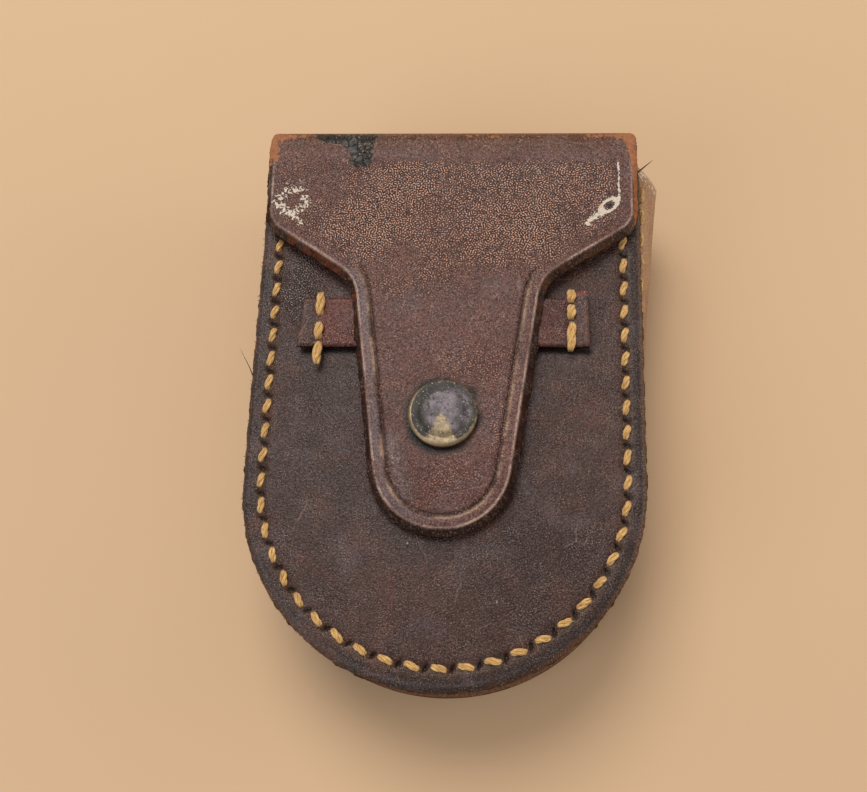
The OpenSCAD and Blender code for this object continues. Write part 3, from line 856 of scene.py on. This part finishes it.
def flap_paint(slab):
    """The face's colours, then the bevel with a painted highlight on its break and painted shade between
    its torn fibres, the fold with a painted highlight strip, the cut side and the underside.
    """
    rest, depth, x, y = slab.rest, slab.depth, slab.x, slab.y
    paint, patchy = flap_face_paint(slab)
    break_highlight = slab.near_edge(1.25, 0.17) * (slab.share > 0.8)
    torn = 0.75 * flap_torn(slab) * smooth(y, 10, 20) * smooth(-np.abs(x), -36, -30)
    gaps = patches(rest * (1, 1, 0.4), 0.9, 85, 0.1, 0.5) * smooth(-x, 0, 6) * smooth(y, 14, 22)
    fold_highlight = bell(y - FOLD_START + 2.4, 0.8) * smooth(bumps(rest, 12.0, 97), -0.5, 0.3)
    paint.lay((44, 28, 23), 0.9 * smooth(1.2 - depth, 0, 0.35))
    # painted highlight along the upper break of the bevel
    paint.lay((226, 194, 178), 0.9 * break_highlight * (0.35 + 0.65 * patchy))
    paint.lay((98, 70, 54), torn * (x > 0))
    paint.lay((112, 66, 46), torn * (x <= 0))
    # painted shade in the gaps between torn fibres along the left shoulder's edge
    paint.lay((26, 17, 14), 0.85 * gaps * smooth(1.05 - depth, 0, 0.3))
    paint.lay((104, 64, 42), 0.85 * smooth(y, FOLD_START - 2.0, FOLD_START - 0.2))
    # painted highlight: a lighter strip just before the flap curves over the fold
    paint.lay((112, 94, 90), 0.5 * fold_highlight)
    paint.lay(ROOF_BROWN, smooth(y, FOLD_START + 3, FOLD_START + 9))
    paint.lay((66, 42, 30), slab.side)
    paint.lay(FLESH_BROWN, smooth(0.3 - slab.share, 0, 0.2))
    return paint


def flap_grain(slab):
    """Where the grain stands out: right of the left shoulder, and in three patches of the tongue."""
    rest, x, y = slab.rest, slab.x, slab.y
    uneven = 5.0 * roughness(rest, 9.0, 87)
    grain = smooth(y + uneven, 17, 31) * smooth(x + uneven, -30, -8) * smooth(35 - x, 0, 6)
    grain += 0.75 * spot(rest, (6, 5), (7, 4)) + 0.45 * spot(rest, (10, -6), (3, 8))
    grain += 0.4 * spot(rest, (2, -17), (7, 4)) + 0.35 * smooth(y, 20, 30) * smooth(-x, 6, 14)
    off_edges = smooth(slab.depth, 1.2, 3.0) * smooth(FOLD_START - 2.5 - y, 0, 3)
    return grain * off_edges * (0.75 + 0.35 * bumps(rest, 8.0, 98))


def flap_dirt_and_shade(slab):
    """Grime round the cap and inside the looped scuff, painted shade in the pressed line, and the cap's
    painted shadow below it.
    """
    rest = slab.rest
    away = np.hypot(rest[:, 0] - STUD[0], rest[:, 1] - STUD[1])
    dirt_and_shade = 0.8 * smooth(away, 5.0, 6.2) * smooth(8.4 - away, 0, 1.9) * (0.8 + 0.5 * bumps(rest, 3.0, 90))
    # the cap's painted shadow, below it
    dirt_and_shade += 0.3 * spot(rest, STUD + (0, -6.5), (6, 3))
    # painted shade in the pressed line
    dirt_and_shade += 0.5 * slab.crease * patches(rest, 4.0, 92, -0.2, 0.6)
    return dirt_and_shade + 0.9 * spot(rest, (30.3, 37.0), (0.9, 0.6))


def flap_worn(slab):
    """Bare raw leather: the left corner, a strip down the right side, and flecks on fold and edges."""
    rest, x, y = slab.rest, slab.x, slab.y
    worn = 0.7 * spot(rest, (-FLAP_HIGH[0] + 0.9, 48.0), (1.9, 3.6))
    worn += 0.85 * smooth(x - 32.9 - 0.2 * np.maximum(50 - y, 0), 0, 1.4) * smooth(y, 34, 44)
    worn += 0.6 * smooth(x, 34.3, 35.2) * smooth(y, 28, 36) + 0.4 * spot(rest, (34.6, 50.8), (2.0, 1.5))
    worn += 0.5 * bell(y - FOLD_START - 1.3, 1.0) * (0.75 + 0.45 * bumps(rest, 7.0, 99))
    worn += 0.25 * slab.near_edge(0.3, 0.4) * smooth(y, 14, 20) * patches(rest, 5.0, 95, -0.2, 0.6)
    return worn


def flap_scuffs(slab):
    """White scuffs: a ring and a streak at the left, and a line, a loop and its tail at the right."""
    rest, x, y = slab.rest, slab.x, slab.y
    ring = 0.5 * bell(np.hypot(x + 30.4, y - 38.0) - 2.5, 1.6)
    scuffs = np.maximum(ring, 0.6 * streak(rest, (-34.0, 37.6), (-28.6, 33.4), 0.8))
    scuffs += 0.1 * roughness(rest, 1.1, 93) * (scuffs > 0.1)
    scuffs += 0.74 * streak(rest, (32.0, 45.6), (32.1, 38.2), 0.3)
    along = (x - 30.2) * 0.78 + (y - 36.9) * 0.62
    across = (y - 36.9) * 0.78 - (x - 30.2) * 0.62
    scuffs += 0.95 * bell(np.hypot(along / 1.8, across) - 1.0, 0.34)
    return scuffs + 0.72 * streak(rest, (26.0, 33.0), (28.8, 35.6), 0.7)


def flap_leather():
    """The flap with its tongue and the front half of the roof, bending at the front fold."""
    slab = flap_slab()
    on_face = 1 - slab.side
    stain = spot(slab.rest, (-20.6, 51.6), (6.8, 2.0)) + spot(slab.rest, (-17.6, 47.8), (2.4, 3.6))
    skin = flap_grain(slab), np.maximum(slab.side, 0.85 * flap_torn(slab)), flap_dirt_and_shade(slab) * on_face
    marks = flap_worn(slab) * on_face, flap_scuffs(slab) * on_face, 0.95 * stain * on_face
    made = slab.piece("flap_leather", FLAP_LEATHER, flap_paint(slab), skin, marks)
    dress(made, "flap_leather", None, "flap", "roof_panel")
    blend_at(made)


def back_leather():
    """The back and the other half of the roof, bending at the back fold. Its face looks down."""
    inner = FOLD_INNER_R
    arc = (inner + BACK_T / 2) * math.pi / 2
    end = FOLD_START + arc + (ROOF_MIDDLE_Z - INSIDE_Z - inner)
    slab = Slab(u_outline(RIM_R, RIM_Y, end, 0.0), 0.0, BACK_T, COARSE_VOXEL)
    rest, points = slab.rest, slab.points
    y = rest[:, 1]
    reach, _ = u_coordinates(rest, RIM_R, RIM_Y)
    slab.round_edges(RIM_R - reach, 1.0, 0.75)
    height, hole = panel_height(points)
    on_back = smooth(FOLD_START - y, 0, 4)
    points[:, 2] += (0.35 * height - 0.95 * hole) * slab.share * on_back
    points[:, 0] *= 1 - (RIM_R - FLAP_SIDE) / RIM_R * smooth(y, FOLD_START - 6, FOLD_START + 4)
    slab.points = fold_over(points, FOLD_START, inner, BACK_T)
    slab.points[:, 2] = INSIDE_Z - slab.points[:, 2]

    paint = Paint(len(rest), (96, 72, 66))
    paint.lay((112, 84, 74), 0.6 * patches(rest, 16.0, 100, -0.2, 0.9))
    paint.lay((70, 56, 54), 0.75 * smooth(SEAM_INSET - slab.depth, -0.3, 1.2) * on_back)
    paint.lay(ROOF_BROWN, smooth(y, FOLD_START - 2, FOLD_START + 6))
    paint.lay((110, 74, 54), 0.6 * bell(y - FOLD_START - 1.5, 2.0))
    paint.lay(EDGE_BROWN, slab.side)
    paint.lay(FLESH_BROWN, smooth(0.3 - slab.share, 0, 0.2))
    grain = 0.45 * patches(rest, 12.0, 108, -0.4, 0.8) * smooth(FOLD_START - y, -2, 4)
    worn = 0.35 * slab.near_edge(0.15, 0.5) * patches(rest, 6.0, 104, -0.1, 0.7)
    worn += 0.22 * bell(y - FOLD_START - 1.5, 1.5)
    # painted shade in the stitch slits, laid on as dark grime
    skin = grain, slab.side, 1.25 * hole
    made = slab.piece("back_leather", FLAP_LEATHER, paint, skin, (worn, 0.0, 0.0), apart=20)
    dress(made, "brown_leather", None, "back_panel")
    blend_at(made)


# ------ straps
STRAP_LEN = 53.8
STRAP_W = 9.7
STRAP_T = 1.7
STRAP_UNDER = 0.35
STRAP_TURN = math.radians(0.5)
TAB_LEN = 4.4
TAB_RISE = 1.7


def strap_slab():
    """The strap across the front: flat at its sewn ends, with a raised tab at the right one."""
    end, edge = STRAP_LEN / 2, STRAP_W / 2
    outline = rounded([
        (end, -edge, 0.5),
        (end - 0.3, edge + TAB_RISE, 0.4),
        (end - TAB_LEN, edge + TAB_RISE, 0.5),
        (end - TAB_LEN - 0.2, edge, 0),
        (-end, edge, 0.5),
        (-end - 0.9, -edge - 0.1, 0.5),
    ])
    slab = Slab(outline, 0.0, STRAP_T, FINE_VOXEL)
    rest, points = slab.rest, slab.points
    from_middle = np.abs(rest[:, 0])
    slab.round_edges(depth_inside(rest[:, :2], outline), 0.5, 0.4, cut_side=0.35)
    slab.at_seam = bell(from_middle - (end - 3.4), 1.0)
    points[:, 2] += STRAP_UNDER + 0.3 * smooth(22 - from_middle, 0, 6) - 0.3 * slab.at_seam
    points[:, 2] += 0.12 * bumps(rest, 7.0, 120) + 0.25 * smooth(from_middle, 24, 27)
    points[:, 1] += 0.12 * bumps(rest, 12.0, 121)
    slab.points = points @ np.array(Matrix.Rotation(STRAP_TURN, 3, "Z")).T
    slab.points += (*((STRAP_LOW + STRAP_HIGH) / 2)[:2], FACE_Z + 0.45)
    return slab


def strap_leather():
    """The strap's colours: red-brown, darker at both ends, with a painted highlight along its edges and a
    dark line under its bright tab.
    """
    slab = strap_slab()
    x, y = slab.x, slab.y
    tab_start = STRAP_LEN / 2 - TAB_LEN
    under_tab = bell(y - STRAP_W / 2, 0.3) * smooth(x, tab_start, tab_start + 0.5)
    paint = Paint(len(x), (106, 48, 36))
    paint.lay((76, 48, 39), 0.8 * smooth(x, 10, 26))
    paint.lay((74, 54, 49), 0.85 * smooth(-x, 22.5, 25))
    # painted highlight along the break of the face's edges
    paint.lay((128, 96, 84), 0.5 * slab.near_edge(0.6, 0.25) * (slab.share > 0.7))
    paint.lay((156, 76, 58), 0.9 * smooth(y, STRAP_W / 2 - 0.2, STRAP_W / 2 + 0.5))
    paint.lay((34, 22, 18), 0.8 * under_tab)
    paint.lay((42, 28, 23), slab.side)
    grain = 0.35 * patches(slab.rest, 6.0, 124, -0.3, 0.6)
    worn = 0.3 * slab.near_edge(0.2, 0.3) * patches(slab.rest, 3.0, 126, 0, 0.7)
    skin = grain, slab.side, 0.4 * slab.at_seam
    made = slab.piece("strap_leather", STRAP_LEATHER, paint, skin, (worn, 0.0, 0.0), apart=60)
    dress(made, "strap_leather", "case", "cross_strap")


def loop_leather():
    """The belt loop on the back: sewn down at both ends and standing off between them."""
    thickness, sewn_end, ramp = 2.0, 9.0, 5.0
    half_width = LOOP_HIGH[0]
    half_length = (LOOP_HIGH[1] - LOOP_LOW[1]) / 2
    corners = ((1, -1), (1, 1), (-1, 1), (-1, -1))
    outline = rounded([(sx * half_width, sy * half_length, 2.0) for sx, sy in corners])
    slab = Slab(outline, 0.0, thickness, COARSE_VOXEL)
    rest, points = slab.rest, slab.points
    off_ends = half_length - np.abs(rest[:, 1])
    slab.round_edges(np.minimum(half_width - np.abs(rest[:, 0]), off_ends), 0.9, 0.7)
    away = smooth(off_ends, sewn_end, sewn_end + ramp)
    drop = BACK_LOW[2] - thickness - LOOP_LOW[2]
    bow = 0.15 * (1 + bumps(rest, 20.0, 130))
    points[:, 2] = BACK_LOW[2] - 0.05 - points[:, 2] - (drop - bow - 0.1) * away
    points[:, 1] += (LOOP_HIGH[1] + LOOP_LOW[1]) / 2
    paint = Paint(len(rest), (108, 72, 60))
    paint.lay((126, 92, 78), 0.6 * patches(rest, 12.0, 132, -0.2, 0.8) * away)
    paint.lay(EDGE_BROWN, slab.side)
    worn = 0.3 * slab.near_edge(0.3, 0.5) * away
    skin = 0.4, slab.side, 0.0
    made = slab.piece("loop_leather", STRAP_LEATHER, paint, skin, (worn, 0.0, 0.0), apart=90)
    dress(made, "strap_leather", "case", "belt_loop")


# ------ gusset
WEB_R = RIM_R - 1.3
WEB_T = 2.4
WEB_W = 16
WEB_SWELL_RIGHT = 5.9
WEB_SWELL_LEFT = 3.6
WEB_END_SCOOP = 3.0
WEB_STATIONS = 520
WEB_LEVELS = 40
WEB_SIDE = 110


def web_surface(s_share, rise, out):
    """A point of the side strip: s_share goes from -1 to 1 along it and rise from 0 to 1 across it."""
    low, high = GUSSET_LOW[2], GUSSET_HIGH[2]
    end_y = FOLD_Y - 0.6 - WEB_END_SCOOP * np.sin(math.pi * rise)
    half = WEB_R * math.pi / 2 + end_y - RIM_Y
    s = s_share * half
    angle = np.clip(s / WEB_R, -math.pi / 2, math.pi / 2)
    climb = np.abs(s - WEB_R * angle)
    share = climb / (end_y - RIM_Y)
    swell = np.where(s > 0, WEB_SWELL_RIGHT, WEB_SWELL_LEFT)
    radius = WEB_R + out + swell * share * np.sin(math.pi * rise) ** 0.9
    x = radius * np.sin(angle)
    y = RIM_Y - radius * np.cos(angle) + climb
    return np.stack([x, y, low + (high - low) * rise + 0 * s], axis=-1), s


def web_mesh():
    """The side strip's points, where they lie flat, and its faces."""
    shares = np.linspace(-1, 1, WEB_STATIONS)[:, None]
    rises = np.linspace(0, 1, WEB_LEVELS)[None, :]
    outer, s = web_surface(shares, rises, 0.0)
    inner, _ = web_surface(shares, rises, -WEB_T)
    s = np.broadcast_to(s, (WEB_STATIONS, WEB_LEVELS))
    flat = np.stack([s, WEB_W * rises + 0 * s, 0 * s], axis=-1)
    waves = 0.22 * roughness(flat.reshape(-1, 3), 9.0, 140).reshape(s.shape)
    turn = np.clip(s / WEB_R, -math.pi / 2, math.pi / 2)
    normal = np.stack([np.sin(turn), -np.cos(turn), 0 * s], axis=-1)
    outer = outer + normal * (waves * np.sin(math.pi * rises) ** 0.5)[..., None]
    points = np.concatenate([outer, inner[:, ::-1]], axis=1).reshape(-1, 3)
    rest = np.concatenate([flat, flat[:, ::-1] - (0, 0, WEB_T)], axis=1).reshape(-1, 3)

    base = np.arange(len(points)).reshape(WEB_STATIONS, 2 * WEB_LEVELS)
    lids = []
    for row, flip in ((base[0], 1), (base[-1], -1)):
        out, back = row[:WEB_LEVELS], row[WEB_LEVELS:][::-1]
        lids.append(np.stack([out[:-1], out[1:], back[1:], back[:-1]], axis=-1)[:, ::flip])
    return points, rest, [ring_walls(base[:, ::-1])] + lids


def gusset_leather():
    """The tan side strip, bulging at both sides, rubbed pale at its open ends, with painted shade along
    both long edges where it meets the panels.
    """
    points, rest, faces = web_mesh()
    count = len(points)
    off_end = 1 - np.abs(np.repeat(np.linspace(-1, 1, WEB_STATIONS), 2 * WEB_LEVELS))
    off_end *= WEB_SIDE
    off_edge = np.minimum(rest[:, 1], WEB_W - rest[:, 1])
    paint = Paint(count, (200, 158, 123))
    paint.lay((168, 126, 93), 0.6 * patches(rest * (0.12, 1.0, 1.0), 1.2, 144, -0.3, 0.7))
    # painted shade along both long edges, where the strip meets the panels
    paint.lay((110, 80, 60), 0.8 * smooth(2.2 - off_edge, 0, 2.0))
    paint.lay((226, 190, 152), 0.8 * bell(off_end, 0.8))
    attributes = {
        "rest": rest + (0, 0, 120),
        "tint": paint.tint,
        "skin": columns(count, 0.15, 0.35, 0.0),
        "marks": columns(count, 0.0, 0.1 + 0.3 * bell(off_end - 1, 1.0), 0.0),
    }
    made = make_piece("gusset_leather", points, faces, TAN_LEATHER, attributes)
    dress(made, "tan_leather", "case", "gusset")


# ------ stitches
PLY_SIDES = 10
HAIR_SIDES = 3
THREAD_T = 0.7


class Strands:
    """Many tubes gathered into one thread mesh."""

    def __init__(self):
        self.points, self.faces, self.rests, self.sunk = [], [], [], []

    def add(self, paths, radii, ups, sides, sunk, rest=None):
        """Adds tubes. sunk is how deep in the leather a station lies, rest its place in the texture."""
        first = sum(len(points) for points in self.points)
        points, groups = tubes(paths, radii, ups, sides)
        self.points.append(points)
        self.faces += [group + first for group in groups]
        self.rests.append(points if rest is None else rest)
        self.sunk.append(np.repeat(np.broadcast_to(sunk, paths.shape[:2]), sides))

    def piece(self, name):
        sunk = np.concatenate(self.sunk)
        attributes = {"rest": np.vstack(self.rests), "skin": np.column_stack([sunk, sunk, sunk])}
        return make_piece(name, np.vstack(self.points), self.faces, THREAD, attributes)


def add_plies(strands, rng, centres, ways, lengths, thick, sink):
    """Three twisted plies for each stitch, thick in the middle and diving down at both ends."""
    directions, across, normals = ways
    count = len(centres)
    t = np.linspace(-1, 1, 21)
    arch = (1 - np.abs(t) ** 3.5) * (0.62 + 0.55 * sink) - 0.55 * sink
    girth = 0.38 + 0.62 * (1 - np.abs(t) ** 2.6)
    phase = rng.uniform(0, 2 * math.pi, count)
    twist = rng.uniform(0.25, 0.42, count)
    along = t * lengths[:, None] / 2
    radii = np.broadcast_to(0.46 * thick * (0.55 + 0.45 * girth), along.shape)
    for ply in range(3):
        angle = phase[:, None] + ply * 2 * math.pi / 3 + twist[:, None] * math.pi * t * 1.4
        side = 0.5 * thick * np.cos(angle) * girth
        up = (0.6 * arch + 0.27 * np.sin(angle) * girth) * thick
        path = centres[:, None, :] + directions[:, None, :] * along[..., None]
        path = path + across[:, None, :] * side[..., None] + normals[:, None, :] * up[..., None]
        rest = np.column_stack([
            np.repeat(along, PLY_SIDES),
            np.tile(np.arange(PLY_SIDES) * 0.28 * thick, along.size),
            np.repeat(np.arange(count) * 7.3 + ply * 2.1, len(t) * PLY_SIDES),
        ])
        strands.add(path, radii, normals, PLY_SIDES, np.abs(t) ** 4, rest)


def add_hairs(strands, rng, centres, ways, lengths, thick, hairs_each):
    """Short fine hairs that stand off each stitch."""
    owner = np.repeat(np.arange(len(centres)), hairs_each)
    directions, across, normals = (way[owner] for way in ways)
    count = len(owner)
    start = rng.uniform(-0.9, 0.9, count)
    lean = rng.normal(0, 1, (count, 3))
    reach = rng.uniform(0.35, 1.0, count)[:, None] * thick
    root = centres[owner] + directions * (start * lengths[owner] / 2)[:, None] + 0.3 * thick * normals
    out = across * np.sign(lean[:, :1]) * (0.7 + np.abs(lean[:, :1])) + directions * lean[:, 1:2]
    out = out / np.linalg.norm(out, axis=1, keepdims=True)
    u = np.linspace(0, 1, 5)
    path = root[:, None, :] + out[:, None, :] * (u * reach)[..., None] * 1.3
    path += normals[:, None, :] * ((0.35 * np.sin(u * 2.6) - 0.25 * u) * reach)[..., None]
    path += directions[:, None, :] * ((u**2) * lean[:, 2:3] * 0.25)[..., None]
    radii = np.broadcast_to(0.05 * (1.1 - u), (count, len(u)))
    strands.add(path, radii, normals + 0.3 * directions, HAIR_SIDES, 0.0)


def stitches(
    name, node, centres, directions, up, seed, length=STITCH_LEN, thick=THREAD_T, hairs=0, sink=1.0
):
    """Stitches of three twisted plies, each rising out of one hole and diving into the next."""
    rng = np.random.default_rng(seed)
    count = len(centres)
    normals = np.broadcast_to(up, centres.shape)
    lengths = np.ravel(length) * rng.uniform(0.92, 1.06, count)
    turn = rng.normal(0, 0.05, count)[:, None]
    directions = directions * np.cos(turn) + np.cross(normals, directions) * np.sin(turn)
    ways = directions, np.cross(normals, directions), normals
    strands = Strands()
    add_plies(strands, rng, centres, ways, lengths, thick, sink)
    if hairs:
        add_hairs(strands, rng, centres, ways, lengths, thick, hairs)
    dress(strands.piece(name), "waxed_thread", "case", node)


def rim_stitches(name, node, z, side, seed, hairs):
    """The seam round the rim, on the front (side 1) or back (side -1), its stitches slanting a little."""
    centres, along = u_place(STITCH_S)
    flat = np.column_stack([centres, np.zeros(len(centres))])
    height, _ = panel_height(flat)
    centres = flat + np.outer(z + side * (height + 0.05), (0, 0, 1))
    slant = np.array(Matrix.Rotation(STITCH_SLANT, 2))
    directions = np.column_stack([along @ slant.T, np.zeros(len(along))])
    stitches(name, node, centres, directions, (0.0, 0.0, side), seed, hairs=hairs)


def gusset_stitches(name, node, rise, seed):
    """Where the rim's seam comes out on the side strip."""
    shares = STITCH_S / (SEAM_HALF + 2) * 0.985
    levels = np.full(len(shares), rise)
    centres, _ = web_surface(shares, levels, 0.0)
    ahead, _ = web_surface(shares + 0.002, levels, 0.0)
    directions = ahead - centres
    directions /= np.linalg.norm(directions, axis=1, keepdims=True)
    normals = np.cross(directions, (0.0, 0.0, 1.0))
    stitches(name, node, centres - 0.1 * normals, directions, normals, seed, 3.2, 0.6)


def strap_stitches(name, node, x, spans, seed):
    """Thick stitches across a strap's end, each from a start to an end along Y."""
    starts, ends = np.array(spans).T
    centres = columns(len(spans), x, (starts + ends) / 2, FACE_Z + 2.35)
    along = np.array([0.03, 1.0, 0.0])
    directions = np.tile(along / np.linalg.norm(along), (len(spans), 1))
    length = (starts - ends) * 0.97
    stitches(name, node, centres, directions, (0.0, 0.0, 1.0), seed, length, 0.95, hairs=16, sink=1.3)


def loop_stitches(name, node, seed):
    """Six stitches across an end of the belt loop."""
    low, high = mm_box(node)
    centres = columns(6, np.arange(-2.5, 3) * STITCH_PITCH, (low[1] + high[1]) / 2, BACK_LOW[2] - 2.0)
    directions = np.tile([1.0, 0.0, 0.0], (6, 1))
    stitches(name, node, centres, directions, (0.0, 0.0, -1.0), seed)


LEFT_SPANS = [(19.5, 14.9), (13.6, 10.0), (9.6, 5.2)]
RIGHT_SPANS = [(20.3, 18.0), (17.4, 14.5), (13.9, 8.4)]


def all_stitches():
    rim_stitches("thread_rim_front", "rim_stitches_front", FACE_Z, 1.0, 201, 18)
    rim_stitches("thread_rim_back", "rim_stitches_back", BACK_LOW[2], -1.0, 202, 0)
    gusset_stitches("thread_gusset_front", "gusset_stitches_front", 0.88, 203)
    gusset_stitches("thread_gusset_back", "gusset_stitches_back", 0.12, 204)
    strap_stitches("thread_strap_left", "strap_stitches_left", -23.9, LEFT_SPANS, 205)
    strap_stitches("thread_strap_right", "strap_stitches_right", 23.1, RIGHT_SPANS, 206)
    loop_stitches("thread_loop_top", "loop_stitches_top", 207)
    loop_stitches("thread_loop_bottom", "loop_stitches_bottom", 208)


# ------ press stud
CAP_R = CAP_HIGH[0] - STUD[0]
CAP_BASE = FLAP_HIGH[2] - 0.75
CAP_SIDES = 96
ROLL_R = 0.62
BARREL_R = 1.85
BARREL_LEN = 1.9
PIN_R = 0.25


def cap_profile():
    """The cap's outline in radius and height: a barrel, a rolled rim and a low dome inside it."""
    angles = np.radians(np.arange(-80, 101, 15))
    roll_height = CAP_BASE + 0.75 + ROLL_R
    rim = [(CAP_R - ROLL_R + ROLL_R * math.cos(a), roll_height + ROLL_R * math.sin(a)) for a in angles]
    radii = np.linspace(CAP_R - 1.15, PIN_R, 16)
    dish = CAP_HIGH[2] - 0.42 - 0.26 * bell(radii - CAP_R + 1.6, 0.5) + 0.36 * (1 - (radii / 5.0) ** 2)
    barrel = [(PIN_R, CAP_BASE - BARREL_LEN), (BARREL_R, CAP_BASE - BARREL_LEN), (BARREL_R, CAP_BASE)]
    return np.array(barrel + [(CAP_R - 1.0, CAP_BASE)] + rim + list(zip(radii, dish)))


def cap_skin(rest):
    """Where the cap is rubbed bright, with a painted highlight towards the rim's lower left, where it's
    dark, and where dirt and painted shade sit.
    """
    beside, below = rest[:, 0] - STUD[0], STUD[1] - rest[:, 1]
    away = np.hypot(beside, below)
    # rubbed brass round the rim, made brighter to the lower left as a painted highlight
    bright = smooth(away, CAP_R - 0.85, CAP_R - 0.35) * (0.45 + 0.6 * smooth(below - 0.6 * beside, -4, 5))
    wedge = smooth(0.9 + 0.42 * np.clip(below, 0, 6) - np.abs(beside + 0.2), -1.0, 1.2)
    bright += 0.7 * wedge * smooth(below, -1.6, 1.2)
    olive = smooth(np.hypot(beside - 0.9, below + 0.4), 3.0, 5.2)
    # dirt in the hollow inside the rim, and painted shade low down where the cap sits in the leather
    dirt_and_shade = 0.3 * bell(away - (CAP_R - 1.25), 0.35) + 0.8 * smooth(CAP_BASE + 0.9 - rest[:, 2], 0, 0.5)
    return np.column_stack([bright, olive, dirt_and_shade])


def snap_cap():
    """The cap, turned from its profile and dented a little."""
    profile = cap_profile()
    turn = np.arange(CAP_SIDES) * 2 * math.pi / CAP_SIDES
    x = STUD[0] + profile[:, :1] * np.cos(turn)
    y = STUD[1] + profile[:, :1] * np.sin(turn)
    z = np.broadcast_to(profile[:, 1:], x.shape)
    rest = np.stack([x, y, z], axis=-1).reshape(-1, 3)
    dents = 0.05 * bumps(rest, 2.2, 300) + 0.03 * bumps(rest, 0.9, 301)
    points = rest + np.outer(dents, (0, 0, 1))
    base = np.arange(len(points)).reshape(len(profile), CAP_SIDES)
    faces = [ring_walls(base), np.stack([base[0][::-1], base[-1]])]
    made = make_piece("cap_brass", points, faces, CAP_METAL, {"rest": rest, "skin": cap_skin(rest)})
    dress(made, "aged_brass", "flap", "snap_cap")


CAD_METAL = {"snap_socket": BRASS, "snap_stud": BRASS, "snap_post": BRASS, "socket_spring": STEEL}


def dress_cad_metal():
    """The stud's hidden parts keep their CAD shape and get old brass and spring wire."""
    for node, metal in CAD_METAL.items():
        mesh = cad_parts[node].data
        mesh.materials.clear()
        mesh.materials.append(metal)


# ------ loose fibres
FIBRE_SHARE = np.linspace(0, 1, 9)


def fibre(start, reach, curl, thick):
    """One curled fibre's line and its thickness along it, ending in a point."""
    bend = np.sin(FIBRE_SHARE * math.pi / 2)
    path = np.array(start) + np.outer(FIBRE_SHARE, reach) + np.outer(bend * FIBRE_SHARE, curl)
    return path, thick * (1.15 - FIBRE_SHARE)


def make_fibres(name, fibres, body, slot):
    paths, radii = (np.array(values) for values in zip(*fibres))
    points, groups = tubes(paths, radii, np.tile([0.3, 0.2, 1.0], (len(paths), 1)), 4)
    dress(make_piece(name, points, groups, FIBRE, {"rest": points}), slot, body)


def loose_fibres():
    """A curled fibre at the flap's corner, one at the left side, and short fuzz round the rim."""
    corner_fibre = fibre((35.0, 44.4, 29.6), (3.6, 2.0, 0.2), (0.2, 0.9, 0.3), 0.22)
    make_fibres("flap_fibre", [corner_fibre], "flap", "flap_leather")
    rng = np.random.default_rng(401)
    fibres = [fibre((-36.6, 4.0, 25.8), (-1.6, 4.6, 0.6), (-1.0, 0.4, 0.4), 0.1)]
    places, alongs = u_place(rng.uniform(-SEAM_HALF, SEAM_HALF, 420), RIM_R, RIM_Y)
    for place, along in zip(places, alongs):
        outward = np.array([along[1], -along[0]])
        start = (*(place - 0.15 * outward), rng.uniform(25.0, 26.6))
        sideways = outward * rng.uniform(0.15, 0.5) + along * rng.normal(0, 0.3)
        reach = (*sideways, rng.normal(0, 0.15))
        fibres.append(fibre(start, reach, (0, 0, rng.normal(0, 0.15)), rng.uniform(0.03, 0.06)))
    make_fibres("rim_fibres", fibres, "case", "brown_leather")


# ------ stage, lights and camera
FLOOR_HALF = 4000.0
LOOKED_AT = (0, 0, 0.02)
CAMERA_PLACE = (11.1, -62.25, 219.5)
CAMERA_AIM = (-1.97, -0.86, 29.6)
CAMERA_LENS = 45.6
CAMERA_ROLL = math.radians(1.98)


def floor():
    """A plain pale floor, a little mottled, at the height the pouch rests on."""
    corners = ((-1, -1, 0), (1, -1, 0), (1, 1, 0), (-1, 1, 0))
    points = np.array(corners) * FLOOR_HALF
    sh = Shader("pale_paper")
    colour = sh.mix(sh.noise(sh.object_place(), 90.0, 2.0), (210, 178, 142), (205, 171, 135))
    made = make_piece("floor", points, np.array([[0, 1, 2, 3]]), sh.finish(colour, 0.9, None))


def area_light(name, place, size, power, colour):
    """A soft round light that points at the pouch, in metres and watts."""
    light = bpy.data.lights.new(name, "AREA")
    light.shape = "DISK"
    light.size = size
    light.energy = power
    light.color = colour
    made = bpy.data.objects.new(name, light)
    made.location = place
    made.rotation_euler = (Vector(LOOKED_AT) - Vector(place)).to_track_quat("-Z", "Y").to_euler()
    bpy.context.scene.collection.objects.link(made)


def lights():
    area_light("soft_key", (-0.16, 0.42, 0.80), 0.55, 5.1, (1.0, 0.975, 0.94))
    area_light("cool_fill", (-0.55, -0.45, 0.55), 0.5, 1.6, (0.82, 0.9, 1.0))
    area_light("warm_side", (0.75, 0.1, 0.25), 0.4, 1.3, (1.0, 0.94, 0.86))
    world = bpy.data.worlds.new("studio")
    world.use_nodes = True
    background = world.node_tree.nodes["Background"]
    background.inputs["Color"].default_value = (1.0, 0.95, 0.9, 1.0)
    background.inputs["Strength"].default_value = 0.47
    bpy.context.scene.world = world
    bpy.context.scene.view_settings.view_transform = "Standard"


def camera():
    """Looks down at the pouch from a little towards its round end."""
    place, aim = Vector(CAMERA_PLACE) / MM, Vector(CAMERA_AIM) / MM
    data = bpy.data.cameras.new("camera")
    data.lens = CAMERA_LENS
    data.sensor_width = 36.0
    made = bpy.data.objects.new("camera", data)
    back = (place - aim).normalized()
    right = Vector((0, 1, 0)).cross(back).normalized()
    turned = Matrix((right, back.cross(right), back)).transposed().to_4x4()
    made.matrix_world = Matrix.Translation(place) @ turned @ Matrix.Rotation(CAMERA_ROLL, 4, "Z")
    bpy.context.scene.collection.objects.link(made)
    bpy.context.scene.camera = made


front_leather()
flap_leather()
back_leather()
strap_leather()
loop_leather()
gusset_leather()
all_stitches()
snap_cap()
dress_cad_metal()
loose_fibres()
floor()
lights()
camera()
